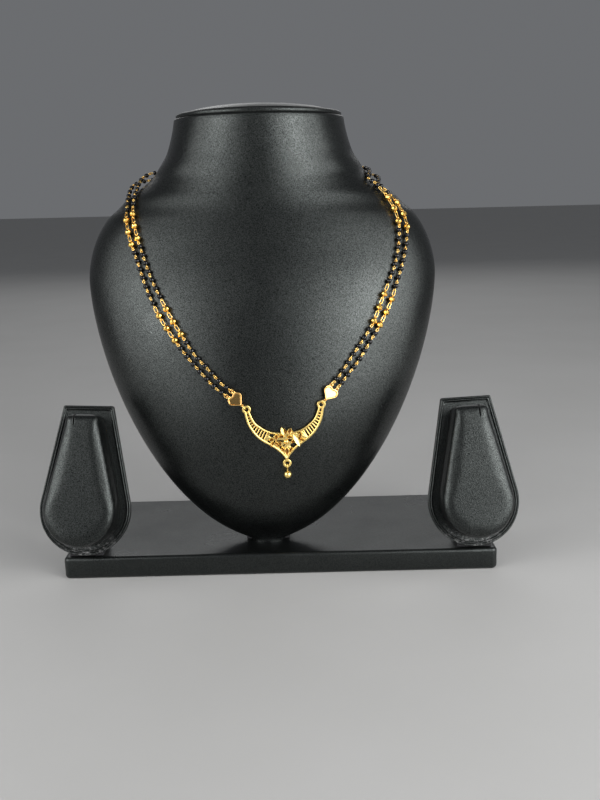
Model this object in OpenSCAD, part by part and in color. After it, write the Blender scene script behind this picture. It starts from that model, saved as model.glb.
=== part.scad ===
// Two-strand bead necklace with an openwork pendant, worn by a small display neck bust.
// Millimetres. The origin is the middle of the box's underside, Z is up and the front faces -Y.
// The necklace is placed in the bust's own frame, whose X starts at the bust's middle line.

/* [Base board] */
// Width of the base board
board_w = 234; // [200:2:260]
// Depth of the base board, front to back
board_d = 95; // [88:1:120]
// Thickness of the base board
board_t = 12; // [8:0.5:16]
// Rounding of the board's corners and long edges
board_round = 2; // [1:0.5:4]

/* [Bust] */
// Height of the bust from the board to the neck's rim
bust_h = 231; // [215:1:245]
// Half of the bust's greatest width
bust_half_w = 97.5; // [90:0.5:105]
// Greatest distance from the flat back to the front of the chest
bust_depth = 46; // [40:1:56]
// Thickness of the bust's shell
shell_wall = 3; // [2:0.5:4]
// How far the flat back leans from upright, in degrees
bust_lean = 14; // [10:1:17]
// Distance from the board's front edge to the bust's lowest point
tip_setback = 17.5; // [14:0.5:22]
// Half width of the bust where it meets the board
tip_half_w = 9; // [7:0.5:12]
// Sideways place of the bust on its board, to the right
bust_x = -7; // [-12:1:12]
// Thickness of the board that closes the bust's back
back_board_t = 3; // [2:0.5:4]
// Thickness of the neck cap at its edge
cap_edge = 2.4; // [1.5:0.1:4]
// Rise of the neck cap's dome above that edge
cap_rise = 3.6; // [2:0.2:6]
// How far the cap stays inside the neck's outline
cap_inset = 1.2; // [0.6:0.1:2]
// Width of the wedge behind the bust's foot
wedge_w = 24; // [16:2:60]
// Height of the wedge
wedge_h = 30; // [20:1:40]
// Depth of the wedge at its top
wedge_top_d = 14; // [8:1:20]

/* [Ear pads] */
// Distance from the middle to each pad's middle
pad_x = 105; // [100:1:112]
// Height of a pad's backing along its slope
pad_h = 81; // [72:1:90]
// Half of a backing's greatest width
pad_half_w = 24.6; // [22:0.2:28]
// Half of a backing's width at the top
pad_top_half_w = 14; // [11:0.5:16]
// Thickness of the backing
pad_back_t = 2.6; // [2:0.2:4]
// Width of the piped rim round the backing
pad_rim_w = 2.3; // [1.6:0.1:3]
// Height of the piped rim
pad_rim_h = 0.9; // [0.5:0.1:1.5]
// Margin from the backing's edge to the cushion
cushion_margin = 4.2; // [3.5:0.1:7]
// Thickness of the cushion
cushion_t = 18; // [12:0.5:19]
// Length of the slit that holds an earring
slit_l = 8; // [5:0.5:10]
// Width of the slit
slit_w = 0.9; // [0.6:0.1:1.5]
// Outward offset of the slit from the pad's middle
slit_x = 4; // [-5:0.5:5]
// How far the pads lean back, in degrees
pad_lean = 17; // [12:1:20]
// Turn of the pads' tops toward the bust, in degrees
pad_turn = 2.4; // [0:0.2:5]
// Distance from the board's front edge to the foot of a pad
pad_setback = 3.5; // [3:0.5:8]
// Width of the leg behind a pad
leg_w = 18; // [12:1:24]
// Height of the leg
leg_h = 46; // [36:1:60]
// Depth of the leg at its top
leg_top_d = 5; // [4:0.5:8]

/* [Pendant] */
// Half of the distance between the pendant's two ears
ear_half_span = 19.5; // [18:0.1:21]
// Height of the pendant from its ears to its tip
pendant_drop = 28.2; // [26:0.1:31]
// Thickness of the pendant's plate
plate_t = 0.9; // [0.7:0.05:1.2]
// Height of the rails above the plate's back
rail_t = 1.3; // [1.1:0.05:1.6]
// Width of the upper rail
upper_rail_w = 1.15; // [0.9:0.05:1.4]
// Width of the lower rails
lower_rail_w = 1.35; // [1:0.05:1.6]
// Outer radius of an ear
ear_r = 2.3; // [2.2:0.05:2.4]
// Radius of an ear's hole
ear_hole_r = 1.05; // [1:0.05:1.1]
// Thickness of an ear and of the tip ring
ear_t = 0.8; // [0.7:0.05:0.9]
// Outer radius of the ring at the pendant's tip
tip_ring_r = 2.3; // [2.1:0.05:2.5]
// Radius of the tip ring's hole
tip_hole_r = 1; // [0.95:0.05:1.1]
// Number of bars on each side of the pendant
bars = 10; // [7:1:11]
// Width of a bar
bar_w = 0.72; // [0.5:0.02:0.8]
// Height of the leaves and petals above the plate's back
leaf_t = 1.7; // [1.5:0.05:2]
// Wall round a leaf's hollow
leaf_wall = 0.3; // [0.22:0.02:0.36]
// Place of the pendant's middle to the right of the bust's middle line
pendant_x = 11.4; // [6:0.2:14]
// Height of the pendant's ears above the board
pendant_z = 80.8; // [76:0.2:86]
// Turn of the pendant, in degrees
pendant_turn = 1.6; // [-3:0.2:3]
// Radius of the drop's ball
ball_r = 2.1; // [1.8:0.05:2.4]
// Length of the neck between the ball and its loop
drop_neck = 1.3; // [0.9:0.1:2]

/* [Hearts] */
// Side of the square that a heart is drawn on
heart_side = 4.8; // [4.4:0.1:5.2]
// Thickness of a heart's rim
heart_t = 1.1; // [0.9:0.05:1.3]
// Width of a heart's raised rim
heart_rim = 0.75; // [0.6:0.05:0.9]
// Depth of the polished field inside the rim
heart_recess = 0.35; // [0.2:0.05:0.45]
// Direction of the left heart's point, in degrees from the right
left_heart_turn = -44; // [-54:1:-34]
// Direction of the right heart's point, in degrees from the right
right_heart_turn = 232; // [222:1:242]
// Outer radius of the eye at a heart's point
point_eye_r = 0.75; // [0.7:0.01:0.8]
// Radius of that eye's hole
point_hole_r = 0.47; // [0.45:0.01:0.48]
// Outer radius of the eyes at a heart's lobes
lobe_eye_r = 1; // [0.9:0.05:1.1]
// Radius of the lobe eyes' holes
lobe_hole_r = 0.6; // [0.5:0.02:0.65]
// Radius of the round wire in the two jump rings
jump_wire_r = 0.28; // [0.24:0.01:0.28]

/* [Strands] */
// Diameter of a black bead
bead_d = 2.8; // [2.4:0.1:3]
// Length of a black bead along its strand
bead_l = 2.1; // [1.9:0.05:2.2]
// Radius of the wire through a black bead
pin_r = 0.16; // [0.12:0.01:0.18]
// Radius of the wire that the eyes are bent from
eye_wire_r = 0.25; // [0.22:0.01:0.27]
// Radius of a bead pin's eye, to the middle of its wire
eye_r = 0.74; // [0.72:0.01:0.76]
// Length of one bead with its eyes, between the hearts and the lower gold beads
pitch_low = 5.3; // [5.1:0.05:5.6]
// Length of one bead with its eyes, above the lower gold beads
pitch_high = 5.1; // [5:0.05:5.5]
// Black beads between a heart and the lower gold beads
low_beads = 7; // [4:1:7]
// Black beads between the two sets of gold beads
mid_beads = 7; // [4:1:7]
// Black beads above the upper gold beads
top_beads = 2; // [1:1:2]
// Gold beads in a set
gold_count = 3; // [3:1:3]
// Diameter of a gold bead
gold_d = 3.7; // [3.2:0.1:3.8]
// Length of a gold bead
gold_l = 2.9; // [2.5:0.1:3]
// Sides of a gold bead
gold_sides = 8; // [8:1:10]
// Radius of a gold bead's eyes, to the middle of their wire
gold_eye_r = 0.73; // [0.71:0.01:0.76]
// Radius of an oval link's wire
link_wire_r = 0.28; // [0.22:0.01:0.29]
// Width of an oval link, to the middle of its wire
link_w = 1.5; // [1.46:0.02:1.7]
// Radius of the small ring between a heart and a strand, to the middle of its wire
small_ring_r = 1.15; // [1.1:0.01:1.25]
// Length that one oval link adds to a strand
link_pitch = 2.9; // [2.8:0.02:3.4]
// Diameter of the strands behind the bust
back_strand_d = 2.6; // [2.2:0.1:2.8]

/* [Clasp] */
// Radius of the two end rings, to the middle of their wire
end_ring_r = 2.6; // [2.4:0.1:3]
// Radius of the end rings' wire
end_wire_r = 0.45; // [0.35:0.05:0.5]
// Length of the clasp's barrel
clasp_l = 8; // [6:0.5:10]
// Radius of the clasp's barrel
clasp_r = 1.7; // [1.4:0.1:2]

/* [Hidden] */
STRAND_NAMES = ["left_outer", "left_inner", "right_inner", "right_outer"];

// Gap left where one piece rests on another
seat_gap = 0.3;
// Gap between two wires that loop through each other
loop_gap = 0.2;
// Gap round the wire in a bead's bore
bore_gap = 0.12;
// Facets of round pieces
fine = 48;

// Lower outline of the bust, from its tip to its widest place, as a rounded-corner curve
WIDEST = 0.625;
LOW_TOP = 1.55;
LOW_SIDE = 1.82;
// Upper outline: share of the bust's height, share of its half width
SHOULDER = [[0.625, 1], [0.671, 0.989], [0.721, 0.952], [0.767, 0.886], [0.792, 0.819], [0.817, 0.761],
    [0.84, 0.683], [0.8625, 0.62], [0.8875, 0.581], [0.9125, 0.544], [0.9375, 0.523], [0.971, 0.503],
    [1, 0.492]];
// Side profile: share of the bust's height, share of its depth
PROFILE = [[0, 0.13], [0.06, 0.34], [0.14, 0.6], [0.25, 0.83], [0.36, 0.95], [0.5, 1], [0.62, 0.97],
    [0.72, 0.9], [0.8, 0.86], [0.88, 0.9], [1, 1]];
// Rings of the bust's shell below and above its widest place, and points round the shell
LOW_RINGS = 18;
HIGH_RINGS = 20;
OUTER_STEPS = 28;
INNER_STEPS = 16;
// Neck cap: share of its height above the edge, share of its outline
CAP_RINGS = [[0, 1], [0.45, 0.93], [0.8, 0.74], [1, 0.42]];

// Routes of the four strands over the chest, from the hearts up, as [x, z] in the bust's frame
ROUTES = [
    [[-24.5, 103.5], [-31, 110.5], [-38.5, 119], [-45.5, 128.5], [-50, 135], [-55, 143.5], [-59.5, 153],
        [-63, 162.5], [-66.5, 172], [-69, 179], [-71, 187], [-71.7, 193], [-72, 199], [-71.8, 203]],
    [[-20.5, 105], [-27.5, 112.5], [-35, 120.5], [-41, 130], [-45.5, 137], [-50.5, 146], [-55.5, 155],
        [-59.5, 164.5], [-63, 174], [-65, 180.5], [-67, 188], [-67.8, 194], [-67.9, 200], [-67.6, 204]],
    [[40.5, 108], [47, 117], [53, 125], [58.5, 133.5], [63.5, 145], [68, 154.5], [71.5, 162.5], [73.7, 171.5],
        [74.5, 180], [73.3, 187.5], [70.6, 193.5], [67, 199], [63, 203.5], [60, 206], [57, 208]],
    [[43.5, 106.5], [50, 114], [56.5, 123.5], [62, 132], [67, 141], [70.5, 149], [73.5, 157], [76.5, 165.5],
        [78.5, 175], [78.7, 182], [77, 188], [73.5, 194], [69.3, 199.3], [65, 203.3], [61.5, 206]]];
// Routes of the same strands over the shoulder and round the back, up to the end rings,
// as [x, distance behind the bust's flat back, z] in the bust's frame
BACK_ROUTES = [
    [[-73.2, -7, 203.2], [-72.8, -2.5, 206], [-71, 0.6, 208.2], [-67, 1.8, 209.4], [-61, 1.9, 210.2],
        [-50, 1.9, 211], [-38, 1.9, 211.3], [-25, 1.9, 211.2]],
    [[-68.2, -7.5, 206.8], [-67.7, -3, 209.8], [-65.6, 0.4, 212.4], [-62, 1.8, 213.8], [-56.5, 1.9, 214.4],
        [-47, 1.9, 214.7], [-35, 1.9, 214.6], [-23, 1.9, 214.1]],
    [[60.6, -13, 210.8], [61.5, -7.3, 212.2], [61.3, -1.8, 213.4], [59.6, 1.4, 214.1], [56, 1.9, 214.4],
        [47, 1.9, 214.4], [34, 1.9, 214.1], [22, 1.9, 213.7]],
    [[66.3, -10, 207.3], [66.6, -4, 208.6], [65.3, 0.8, 209.7], [62, 1.9, 210.4], [55, 1.9, 211],
        [46, 1.9, 211.2], [35, 1.9, 211.1], [24, 1.9, 211]]];

// Pendant wing from the ear to the field: shares of ear_half_span and pendant_drop
// for the upper edge [u, v] and the lower edge [u, v]
WING = [[0.925, 0.03, 1.075, 0.03], [0.9, 0.08, 1.06, 0.1], [0.845, 0.18, 1.02, 0.235],
    [0.775, 0.265, 0.955, 0.35], [0.677, 0.325, 0.84, 0.48], [0.554, 0.388, 0.715, 0.575],
    [0.42, 0.434, 0.575, 0.65]];
// The edges' run on to the middle, in the same shares: upper edge, then lower edge
UPPER_END = [[0.28, 0.462], [0.14, 0.472], [0, 0.475]];
LOWER_END = [[0.46, 0.7], [0.34, 0.758], [0.215, 0.83], [0.115, 0.905], [0.042, 0.98]];
// Holes through the field, as [u, v, half length, half width, turn], the lengths as shares of ear_half_span
FIELD_HOLES = [[-0.362, 0.512, 0.058, 0.042, 8], [-0.156, 0.632, 0.1, 0.02, -4],
    [-0.462, 0.63, 0.042, 0.02, -40], [-0.16, 0.749, 0.05, 0.022, 100], [0.096, 0.629, 0.06, 0.024, 2],
    [0.2, 0.726, 0.075, 0.05, 12], [-0.31, 0.635, 0.035, 0.016, 60], [0.045, 0.53, 0.04, 0.018, 80],
    [0.345, 0.5, 0.05, 0.016, -5], [0.36, 0.6, 0.03, 0.02, 70], [-0.06, 0.72, 0.03, 0.014, 40]];
// Leaves and petals with a hollow, in the same columns
LEAVES = [[-0.255, 0.556, 0.085, 0.046, 85], [-0.12, 0.548, 0.08, 0.04, 3], [-0.386, 0.592, 0.07, 0.032, 6],
    [-0.374, 0.683, 0.085, 0.04, 55], [-0.242, 0.69, 0.09, 0.042, 124], [-0.162, 0.68, 0.078, 0.03, 84],
    [-0.01, 0.455, 0.085, 0.036, 98], [0.113, 0.455, 0.09, 0.064, 60], [0.102, 0.565, 0.078, 0.036, 2],
    [0.2, 0.651, 0.078, 0.034, 22], [0.395, 0.552, 0.082, 0.042, 78], [0.427, 0.63, 0.085, 0.032, -8],
    [0.008, 0.837, 0.125, 0.07, 88], [-0.093, 0.794, 0.09, 0.038, 121], [0.118, 0.805, 0.095, 0.04, 56]];
// Tall smooth leaves, in the same columns
TALL_LEAVES = [[-0.082, 0.448, 0.11, 0.042, 102], [0.28, 0.641, 0.185, 0.047, -64]];

tip_y = -board_d / 2 + tip_setback;
back_foot_y = tip_y + bust_depth * PROFILE[0][1];
pad_y = -board_d / 2 + pad_setback;
pad_plate_t = pad_back_t + cushion_t + seat_gap;
front_most = pad_y + cushion_margin * sin(pad_lean) - pad_plate_t * cos(pad_lean);
// Moves the board's middle so that the origin is the middle of the whole object's box
frame_y = -(front_most + board_d / 2) / 2;

bead_r = bead_d / 2;
strand_lift = bead_r + seat_gap;
gold_lift = (gold_d - bead_d) / 2;
gold_lift_run = 4;
plate_lift = plate_t / 2 + seat_gap;
// Height of a heart's middle plane over the chest
heart_lift = 2.8;
// The jump ring crosses an ear's hole near the side of the heart
ring_play = 0.3;
ear_cross = ear_hole_r - jump_wire_r - ring_play;
// Gap between an ear and the eye at a heart's point
ear_gap = 0.22;
jump_r = (ear_r + ear_gap + point_eye_r - ear_cross) / 2;

// Smooth curve through a table's rows: the value of one column at t, which is column 0
function slope(rows, k, c) = k <= 0 ? 0
    : k >= len(rows) - 1 ? (rows[k][c] - rows[k - 1][c]) / (rows[k][0] - rows[k - 1][0])
    : (rows[k + 1][c] - rows[k - 1][c]) / (rows[k + 1][0] - rows[k - 1][0]);
function hermite(a, b, ma, mb, u) = (2 * u^3 - 3 * u^2 + 1) * a + (u^3 - 2 * u^2 + u) * ma
    + (3 * u^2 - 2 * u^3) * b + (u^3 - u^2) * mb;
function row_at(rows, t, k = 0) = k >= len(rows) - 2 || rows[k + 1][0] > t ? k : row_at(rows, t, k + 1);
function smooth_at(rows, t, c) = let(k = row_at(rows, t), h = rows[k + 1][0] - rows[k][0])
    hermite(rows[k][c], rows[k + 1][c], slope(rows, k, c) * h, slope(rows, k + 1, c) * h,
        (t - rows[k][0]) / h);

// The bust's outline, profile and surface, by height above the board
function share(z) = min(1, max(0, (z - board_t) / bust_h));
function low_share(t) = pow(1 - pow(1 - t / WIDEST, LOW_TOP), 1 / LOW_SIDE);
function half_w(z) = let(t = share(z))
    t < WIDEST ? max(tip_half_w, bust_half_w * low_share(t)) : bust_half_w * smooth_at(SHOULDER, t, 1);
function depth(z) = bust_depth * smooth_at(PROFILE, share(z), 1);
function back_y(z) = back_foot_y + tan(bust_lean) * (z - board_t);
function front_y(x, z) = back_y(z) - depth(z) * sqrt(max(0, 1 - pow(x / half_w(z), 2)));
function unit(v) = v / norm(v);
function normal_at(x, z, e = 0.4) = unit([(front_y(x + e, z) - front_y(x - e, z)) / (2 * e), -1,
    (front_y(x, z + e) - front_y(x, z - e)) / (2 * e)]);
function on_bust(p, lift) = [p[0], front_y(p[0], p[1]), p[1]] + lift * normal_at(p[0], p[1]);

// Inside of the shell: the same surface, one wall further in from every side
function inner_half_w(z) = max(tip_half_w - shell_wall,
    min(half_w(z - shell_wall), half_w(z + shell_wall)) - shell_wall);
function inner_depth(z) = max(shell_wall, min(depth(z - shell_wall), depth(z + shell_wall)) - shell_wall);

// Catmull-Rom curve through points of any size
function spline(p, steps) = [for (i = [0:len(p) - 2]) let(
        a = p[max(i - 1, 0)], b = p[i], c = p[i + 1], d = p[min(i + 2, len(p) - 1)])
    for (j = [0:steps - 1]) let(u = j / steps)
        0.5 * (2 * b + (c - a) * u + (2 * a - 5 * b + 4 * c - d) * u^2 + (3 * b - a - 3 * c + d) * u^3),
    p[len(p) - 1]];
// Running length along a path, one row for each point
function lengths(p) = [for (i = 0, s = 0; i < len(p); s = s + (i + 1 < len(p) ? norm(p[i + 1] - p[i]) : 0),
    i = i + 1) s];
function point_on(path, run, s) = [for (c = [0:2])
    lookup(s, [for (i = [0:len(path) - 1]) [run[i], path[i][c]]])];

function axes(x, y, z, origin) = [[x[0], y[0], z[0], origin[0]], [x[1], y[1], z[1], origin[1]],
    [x[2], y[2], z[2], origin[2]], [0, 0, 0, 1]];
// A frame with Z along one vector and X close to another
function frame(origin, along, out) = let(z = unit(along), y = unit(cross(z, out)), x = cross(y, z))
    axes(x, y, z, origin);
// A plate's frame: X and Y in the plate, turned by an angle, and Z out of it
function plate_frame(origin, out, turn) = let(z = unit(out), right = unit([-z[1], z[0], 0]),
        up = cross(z, right), x = right * cos(turn) + up * sin(turn), y = cross(z, x))
    axes(x, y, z, origin);
function moved(m, p) = let(q = m * [p[0], p[1], p[2], 1]) [q[0], q[1], q[2]];

// The pendant lies on the chest under its own middle
pendant_touch = [pendant_x, board_t + pendant_z - pendant_drop * 0.45];
pendant_out = normal_at(pendant_touch[0], pendant_touch[1]);
pendant_frame = plate_frame(on_bust(pendant_touch, plate_lift), pendant_out, pendant_turn);
ear_v = pendant_drop * 0.45;

// Eyes of a heart, from the middle of its square: the point's eye and the two lobes' eyes
heart_eye_t = 0.55;
point_eye_x = heart_side / sqrt(2) - 0.1;
lobe_shift = heart_side / sqrt(8);
lobe_eye_x = lobe_shift + heart_side / 2 + lobe_hole_r - 0.1;
lobe_eye_y = lobe_shift + 0.15;

function heart_turn(side) = side < 0 ? left_heart_turn : right_heart_turn;
function ear_side(side) = let(a = heart_turn(side) + 180 - pendant_turn) moved(pendant_frame,
    [side * ear_half_span + ear_cross * cos(a), ear_v + ear_cross * sin(a), 0]);
// The jump ring spans from the ear's hole to the eye at the heart's point
function heart_eye(side) = let(e = ear_side(side), a = heart_turn(side), d = 2 * jump_r,
        over = on_bust([e[0] - d * cos(a), e[2] - d * sin(a)], heart_lift))
    e + d * unit(over - e);
function heart_frame(side) = let(e = heart_eye(side))
    plate_frame(e, normal_at(e[0], e[2]), heart_turn(side))
        * axes([1, 0, 0], [0, 1, 0], [0, 0, 1], [-point_eye_x, 0, 0]);

// Half of the overlap where two wires loop through each other
loop_reach = (eye_wire_r + link_wire_r + loop_gap) / 2;
// Where a strand hooks on: just outside the middle of a lobe's eye
function lobe_hook(side, k) = moved(heart_frame(side),
    [-lobe_eye_x - loop_reach, (2 * k - 1) * lobe_eye_y, 0]);
gold_reach = gold_l / 2 - eye_wire_r / 4 + 2 * gold_eye_r;
gold_pitch = 2 * (gold_reach - loop_reach);
small_ring_pitch = 2 * small_ring_r - 2 * loop_reach;
// The pieces of a strand from its heart up: 0 is an oval link, 1 a black bead, 2 a gold bead, 3 a ring
SET = [for (i = [1:gold_count]) each [[2, gold_pitch], [0, link_pitch]]];
PIECES = [[3, small_ring_pitch], each [for (i = [1:low_beads]) [1, pitch_low]], each SET,
    each [for (i = [1:mid_beads]) [1, pitch_high]], each SET, each [for (i = [1:top_beads]) [1, pitch_high]]];
STARTS = [for (i = 0, s = 0; i <= len(PIECES); s = s + (i < len(PIECES) ? PIECES[i][1] : 0), i = i + 1) s];
STRAND_L = STARTS[len(PIECES)];

// One strand: side -1 or 1 and which lobe of the heart it starts from
STRAND_SIDE = [-1, -1, 1, 1];
STRAND_LOBE = [0, 1, 0, 1];
// The strand leaves its heart at the height of the heart's plate
hook_run = 8;
function strand_path(k) = let(h = lobe_hook(STRAND_SIDE[k], STRAND_LOBE[k]), foot = [h[0], h[2]],
        rise = h - on_bust(foot, strand_lift))
    [for (p = spline(concat([foot], ROUTES[k]), 8))
        on_bust(p, strand_lift) + max(0, 1 - norm(p - foot) / hook_run) * rise];
PATHS = [for (k = [0:3]) strand_path(k)];
RUNS = [for (k = [0:3]) lengths(PATHS[k])];
// Where the strand runs over gold beads it stands a little further off the chest
function in_set(s, lo, hi) = min(1, max(0, min((s - lo) / gold_lift_run + 1, (hi - s) / gold_lift_run + 1)));
LOW_SET = small_ring_pitch + low_beads * pitch_low;
SET_L = gold_count * (gold_pitch + link_pitch);
HIGH_SET = LOW_SET + SET_L + mid_beads * pitch_high;
function extra_lift(s) = gold_lift * max(in_set(s, LOW_SET, LOW_SET + SET_L - link_pitch),
    in_set(s, HIGH_SET, HIGH_SET + SET_L - link_pitch));
function joint(k, s) = let(p = point_on(PATHS[k], RUNS[k], s)) p + extra_lift(s) * normal_at(p[0], p[2]);
function piece_frame(k, i) = let(a = joint(k, STARTS[i]), b = joint(k, STARTS[i + 1]), m = (a + b) / 2)
    frame(m, b - a, normal_at(m[0], m[2]));
// The turn of a piece's first and last eye: 0 stands on the chest and 90 lies flat on it. The oval links
// lie flat, and each eye is a quarter turned from the one that it loops through
function start_turn(i) = PIECES[i][0] == 0 ? 90 : PIECES[i][0] == 1 ? 90 - end_turn(i - 1) : 0;
function end_turn(i) = PIECES[i][0] == 1 && i + 1 < len(PIECES) && PIECES[i + 1][0] == 2 ? 90 : start_turn(i);

module on_stand() {
    translate([0, frame_y, 0]) children();
}

module on_bust_frame() {
    translate([bust_x, frame_y, 0]) children();
}

module rounded_rect(w, d, r) {
    square([w - 2 * r, d], center = true);
    square([w, d - 2 * r], center = true);
    for (x = [-1, 1], y = [-1, 1])
        translate([x * (w / 2 - r), y * (d / 2 - r)]) circle(r, $fn = fine);
}

module base_board() {
    color("#1b1b1d") on_stand() intersection() {
        linear_extrude(board_t) rounded_rect(board_w, board_d, board_round * 1.5);
        translate([0, 0, board_t / 2]) rotate([90, 0, 90])
            linear_extrude(board_w + 2, center = true) rounded_rect(board_d, board_t, board_round);
    }
}

// One level of the shell: outside from left to right round the front, inside back again
function shell_loop(z) = concat(
    [for (i = [0:OUTER_STEPS]) let(a = -90 + 180 * i / OUTER_STEPS)
        [half_w(z) * sin(a), back_y(z) - depth(z) * cos(a), z]],
    [for (i = [INNER_STEPS:-1:0]) let(a = -90 + 180 * i / INNER_STEPS)
        [inner_half_w(z) * sin(a), back_y(z) - inner_depth(z) * cos(a), z]]);
SHELL_LEVELS = concat(
    [for (i = [0:LOW_RINGS - 1]) board_t + bust_h * WIDEST * pow(i / LOW_RINGS, 1.5)],
    [for (i = [0:HIGH_RINGS]) board_t + bust_h * (WIDEST + (1 - WIDEST) * i / HIGH_RINGS)]);

// A solid through closed loops of equal count, from the first up to the last
module loft(loops) {
    n = len(loops[0]);
    m = len(loops);
    polyhedron([for (l = loops) each l], concat([[for (i = [0:n - 1]) i]],
        [for (j = [0:m - 2], i = [0:n - 1]) let(a = j * n + i, b = j * n + (i + 1) % n) each
            [[a, a + n, b], [b, a + n, b + n]]],
        [[for (i = [n - 1:-1:0]) (m - 1) * n + i]]));
}

module bust_shell() {
    color("#202022") on_bust_frame() loft([for (z = SHELL_LEVELS) shell_loop(z)]);
}

// Half of the shell's inside width at the back board's front face, on the shell's own flats
function inside_at_board(z) = lookup(back_board_t, [for (i = [0:INNER_STEPS / 2])
    let(a = 180 * i / INNER_STEPS) [inner_depth(z) * sin(a), inner_half_w(z) * cos(a)]]);
back_board_gap = 0.5;

// The back board fills the shell's open back, short of its lowest part
module bust_back_board() {
    levels = [for (z = SHELL_LEVELS) if (share(z) > 0.06 && share(z) < 0.985) z];
    side = [for (z = levels)
        [min(inside_at_board(z), inside_at_board(z + back_board_t * sin(bust_lean))) - back_board_gap,
            (z - board_t) / cos(bust_lean)]];
    color("#17171a") on_bust_frame() translate([0, back_foot_y, board_t]) rotate([90 - bust_lean, 0, 0])
        linear_extrude(back_board_t)
            polygon(concat(side, [for (i = [len(side) - 1:-1:0]) [-side[i][0], side[i][1]]]));
}

module bust_wedge() {
    lean = tan(bust_lean);
    color("#17171a") on_bust_frame() translate([0, back_foot_y + seat_gap, board_t]) rotate([90, 0, 90])
        linear_extrude(wedge_w, center = true)
            polygon([[0, 0], [lean * wedge_h + wedge_top_d, 0], [lean * wedge_h + wedge_top_d, wedge_h],
                [lean * wedge_h, wedge_h]]);
}

module neck_cap() {
    rim = board_t + bust_h;
    w = half_w(rim) - cap_inset;
    d = depth(rim) - 2 * cap_inset;
    mid = [0, back_y(rim) - cap_inset - d * 0.45];
    outline = [for (i = [0:OUTER_STEPS]) let(a = -90 + 180 * i / OUTER_STEPS)
        [w * sin(a), back_y(rim) - cap_inset - d * cos(a)]];
    color("#26262a") on_bust_frame() loft(concat([[for (p = outline) [p[0], p[1], rim]]],
        [for (r = CAP_RINGS) [for (p = outline)
            let(q = mid + (p - mid) * r[1]) [q[0], q[1], rim + cap_edge + cap_rise * r[0]]]]));
}

FOOT_STEPS = 48;
// Outline of a pad: a round foot and straight sides up to a narrower top, drawn inset by m
module teardrop(m) {
    r = pad_half_w - m;
    top = [pad_top_half_w - m * 0.8, pad_h - m];
    reach = [top[0], top[1] - pad_half_w];
    far = norm(reach);
    a = atan2(reach[1], reach[0]) - acos(r / far);
    foot = [for (i = [0:FOOT_STEPS]) let(b = a - (180 + 2 * a) * i / FOOT_STEPS)
        [r * cos(b), pad_half_w + r * sin(b)]];
    polygon(concat([[-top[0], top[1]], top], foot));
}

module on_pad(side) {
    on_stand() translate([side * pad_x, pad_y, board_t + seat_gap]) rotate([90 - pad_lean, 0, 0])
        translate([0, pad_half_w]) rotate(side * pad_turn) translate([0, -pad_half_w]) children();
}

module pad_backing(side) {
    color("#19191b") on_pad(side) {
        linear_extrude(pad_back_t) teardrop(0);
        translate([0, 0, pad_back_t - 0.2]) linear_extrude(pad_rim_h + 0.2) difference() {
            teardrop(0);
            teardrop(pad_rim_w);
        }
    }
}

module pad_cushion(side) {
    color("#2a2a2e") on_pad(side) translate([0, 0, pad_back_t + seat_gap]) difference() {
        linear_extrude(cushion_t) teardrop(cushion_margin);
        translate([side * slit_x - slit_w / 2, pad_h - cushion_margin - slit_l, cushion_t * 0.35])
            cube([slit_w, slit_l + 1, cushion_t]);
    }
}

module pad_leg(side) {
    lean = tan(pad_lean);
    color("#17171a") on_stand()
        translate([side * pad_x, pad_y + seat_gap * (1 / cos(pad_lean) - lean), board_t]) rotate([90, 0, 90])
            linear_extrude(leg_w, center = true)
                polygon([[0, 0], [lean * leg_h + leg_top_d, 0], [lean * leg_h + leg_top_d, leg_h],
                    [lean * leg_h, leg_h]]);
}

// Points of the pendant's edges in millimetres, from its ear line down
function in_mm(p) = [p[0] * ear_half_span, -p[1] * pendant_drop];
UPPER_EDGE = spline([for (p = concat([for (w = WING) [w[0], w[1]]], UPPER_END)) in_mm(p)], 3);
LOWER_EDGE = spline([for (p = concat([for (w = WING) [w[2], w[3]]], LOWER_END)) in_mm(p)], 3);
function reversed(p) = [for (i = [len(p) - 1:-1:0]) p[i]];
function mirrored(p) = [for (q = p) [-q[0], q[1]]];
// The same edge moved sideways by d, to its right
function beside(p, d) = [for (i = [0:len(p) - 1]) let(
        t = unit(p[min(i + 1, len(p) - 1)] - p[max(i - 1, 0)])) p[i] + d * [t[1], -t[0]]];

module rails() {
    upper = beside(UPPER_EDGE, -upper_rail_w);
    lower = beside(LOWER_EDGE, lower_rail_w);
    flat = len(upper) - 1;
    inner_upper = [for (i = [0:flat]) i == flat ? [0, upper[i][1]] : upper[i]];
    polygon(concat(UPPER_EDGE, reversed(mirrored(UPPER_EDGE)), mirrored(inner_upper), reversed(inner_upper)));
    for (m = [0, 1]) mirror([m, 0])
        polygon(concat(LOWER_EDGE, [[0, -pendant_drop]], reversed(lower)));
}

// Middle line of the wing, and the length that the bars are spread over
WING_MIDDLE = [for (w = WING) in_mm([(w[0] + w[2]) / 2, (w[1] + w[3]) / 2])];
WING_RUN = lengths(WING_MIDDLE);
function wing_edge(s, c) = in_mm([for (k = [c, c + 1]) lookup(s, [for (i = [0:len(WING) - 1])
    [WING_RUN[i], WING[i][k]]])]);

// A bar runs between the rails, at a distance along the wing from its ear
module bar(s) {
    a = wing_edge(s, 0);
    b = wing_edge(s, 2);
    along = unit(b - a);
    side = bar_w / 2 * [along[1], -along[0]];
    near = a + along * upper_rail_w / 2;
    far = b - along * lower_rail_w / 2;
    polygon([near + side, far + side, far - side, near - side]);
}

// A pointed oval: two equal arcs over a chord
module leaf(half_l, half_w) {
    r = (half_l^2 + half_w^2) / (2 * half_w);
    intersection() {
        translate([0, half_w - r]) circle(r, $fn = fine);
        translate([0, r - half_w]) circle(r, $fn = fine);
    }
}

module placed_leaves(rows, grow) {
    for (p = rows)
        translate(in_mm([p[0], p[1]])) rotate(p[4])
            leaf(p[2] * ear_half_span + grow, p[3] * ear_half_span + grow);
}

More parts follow.
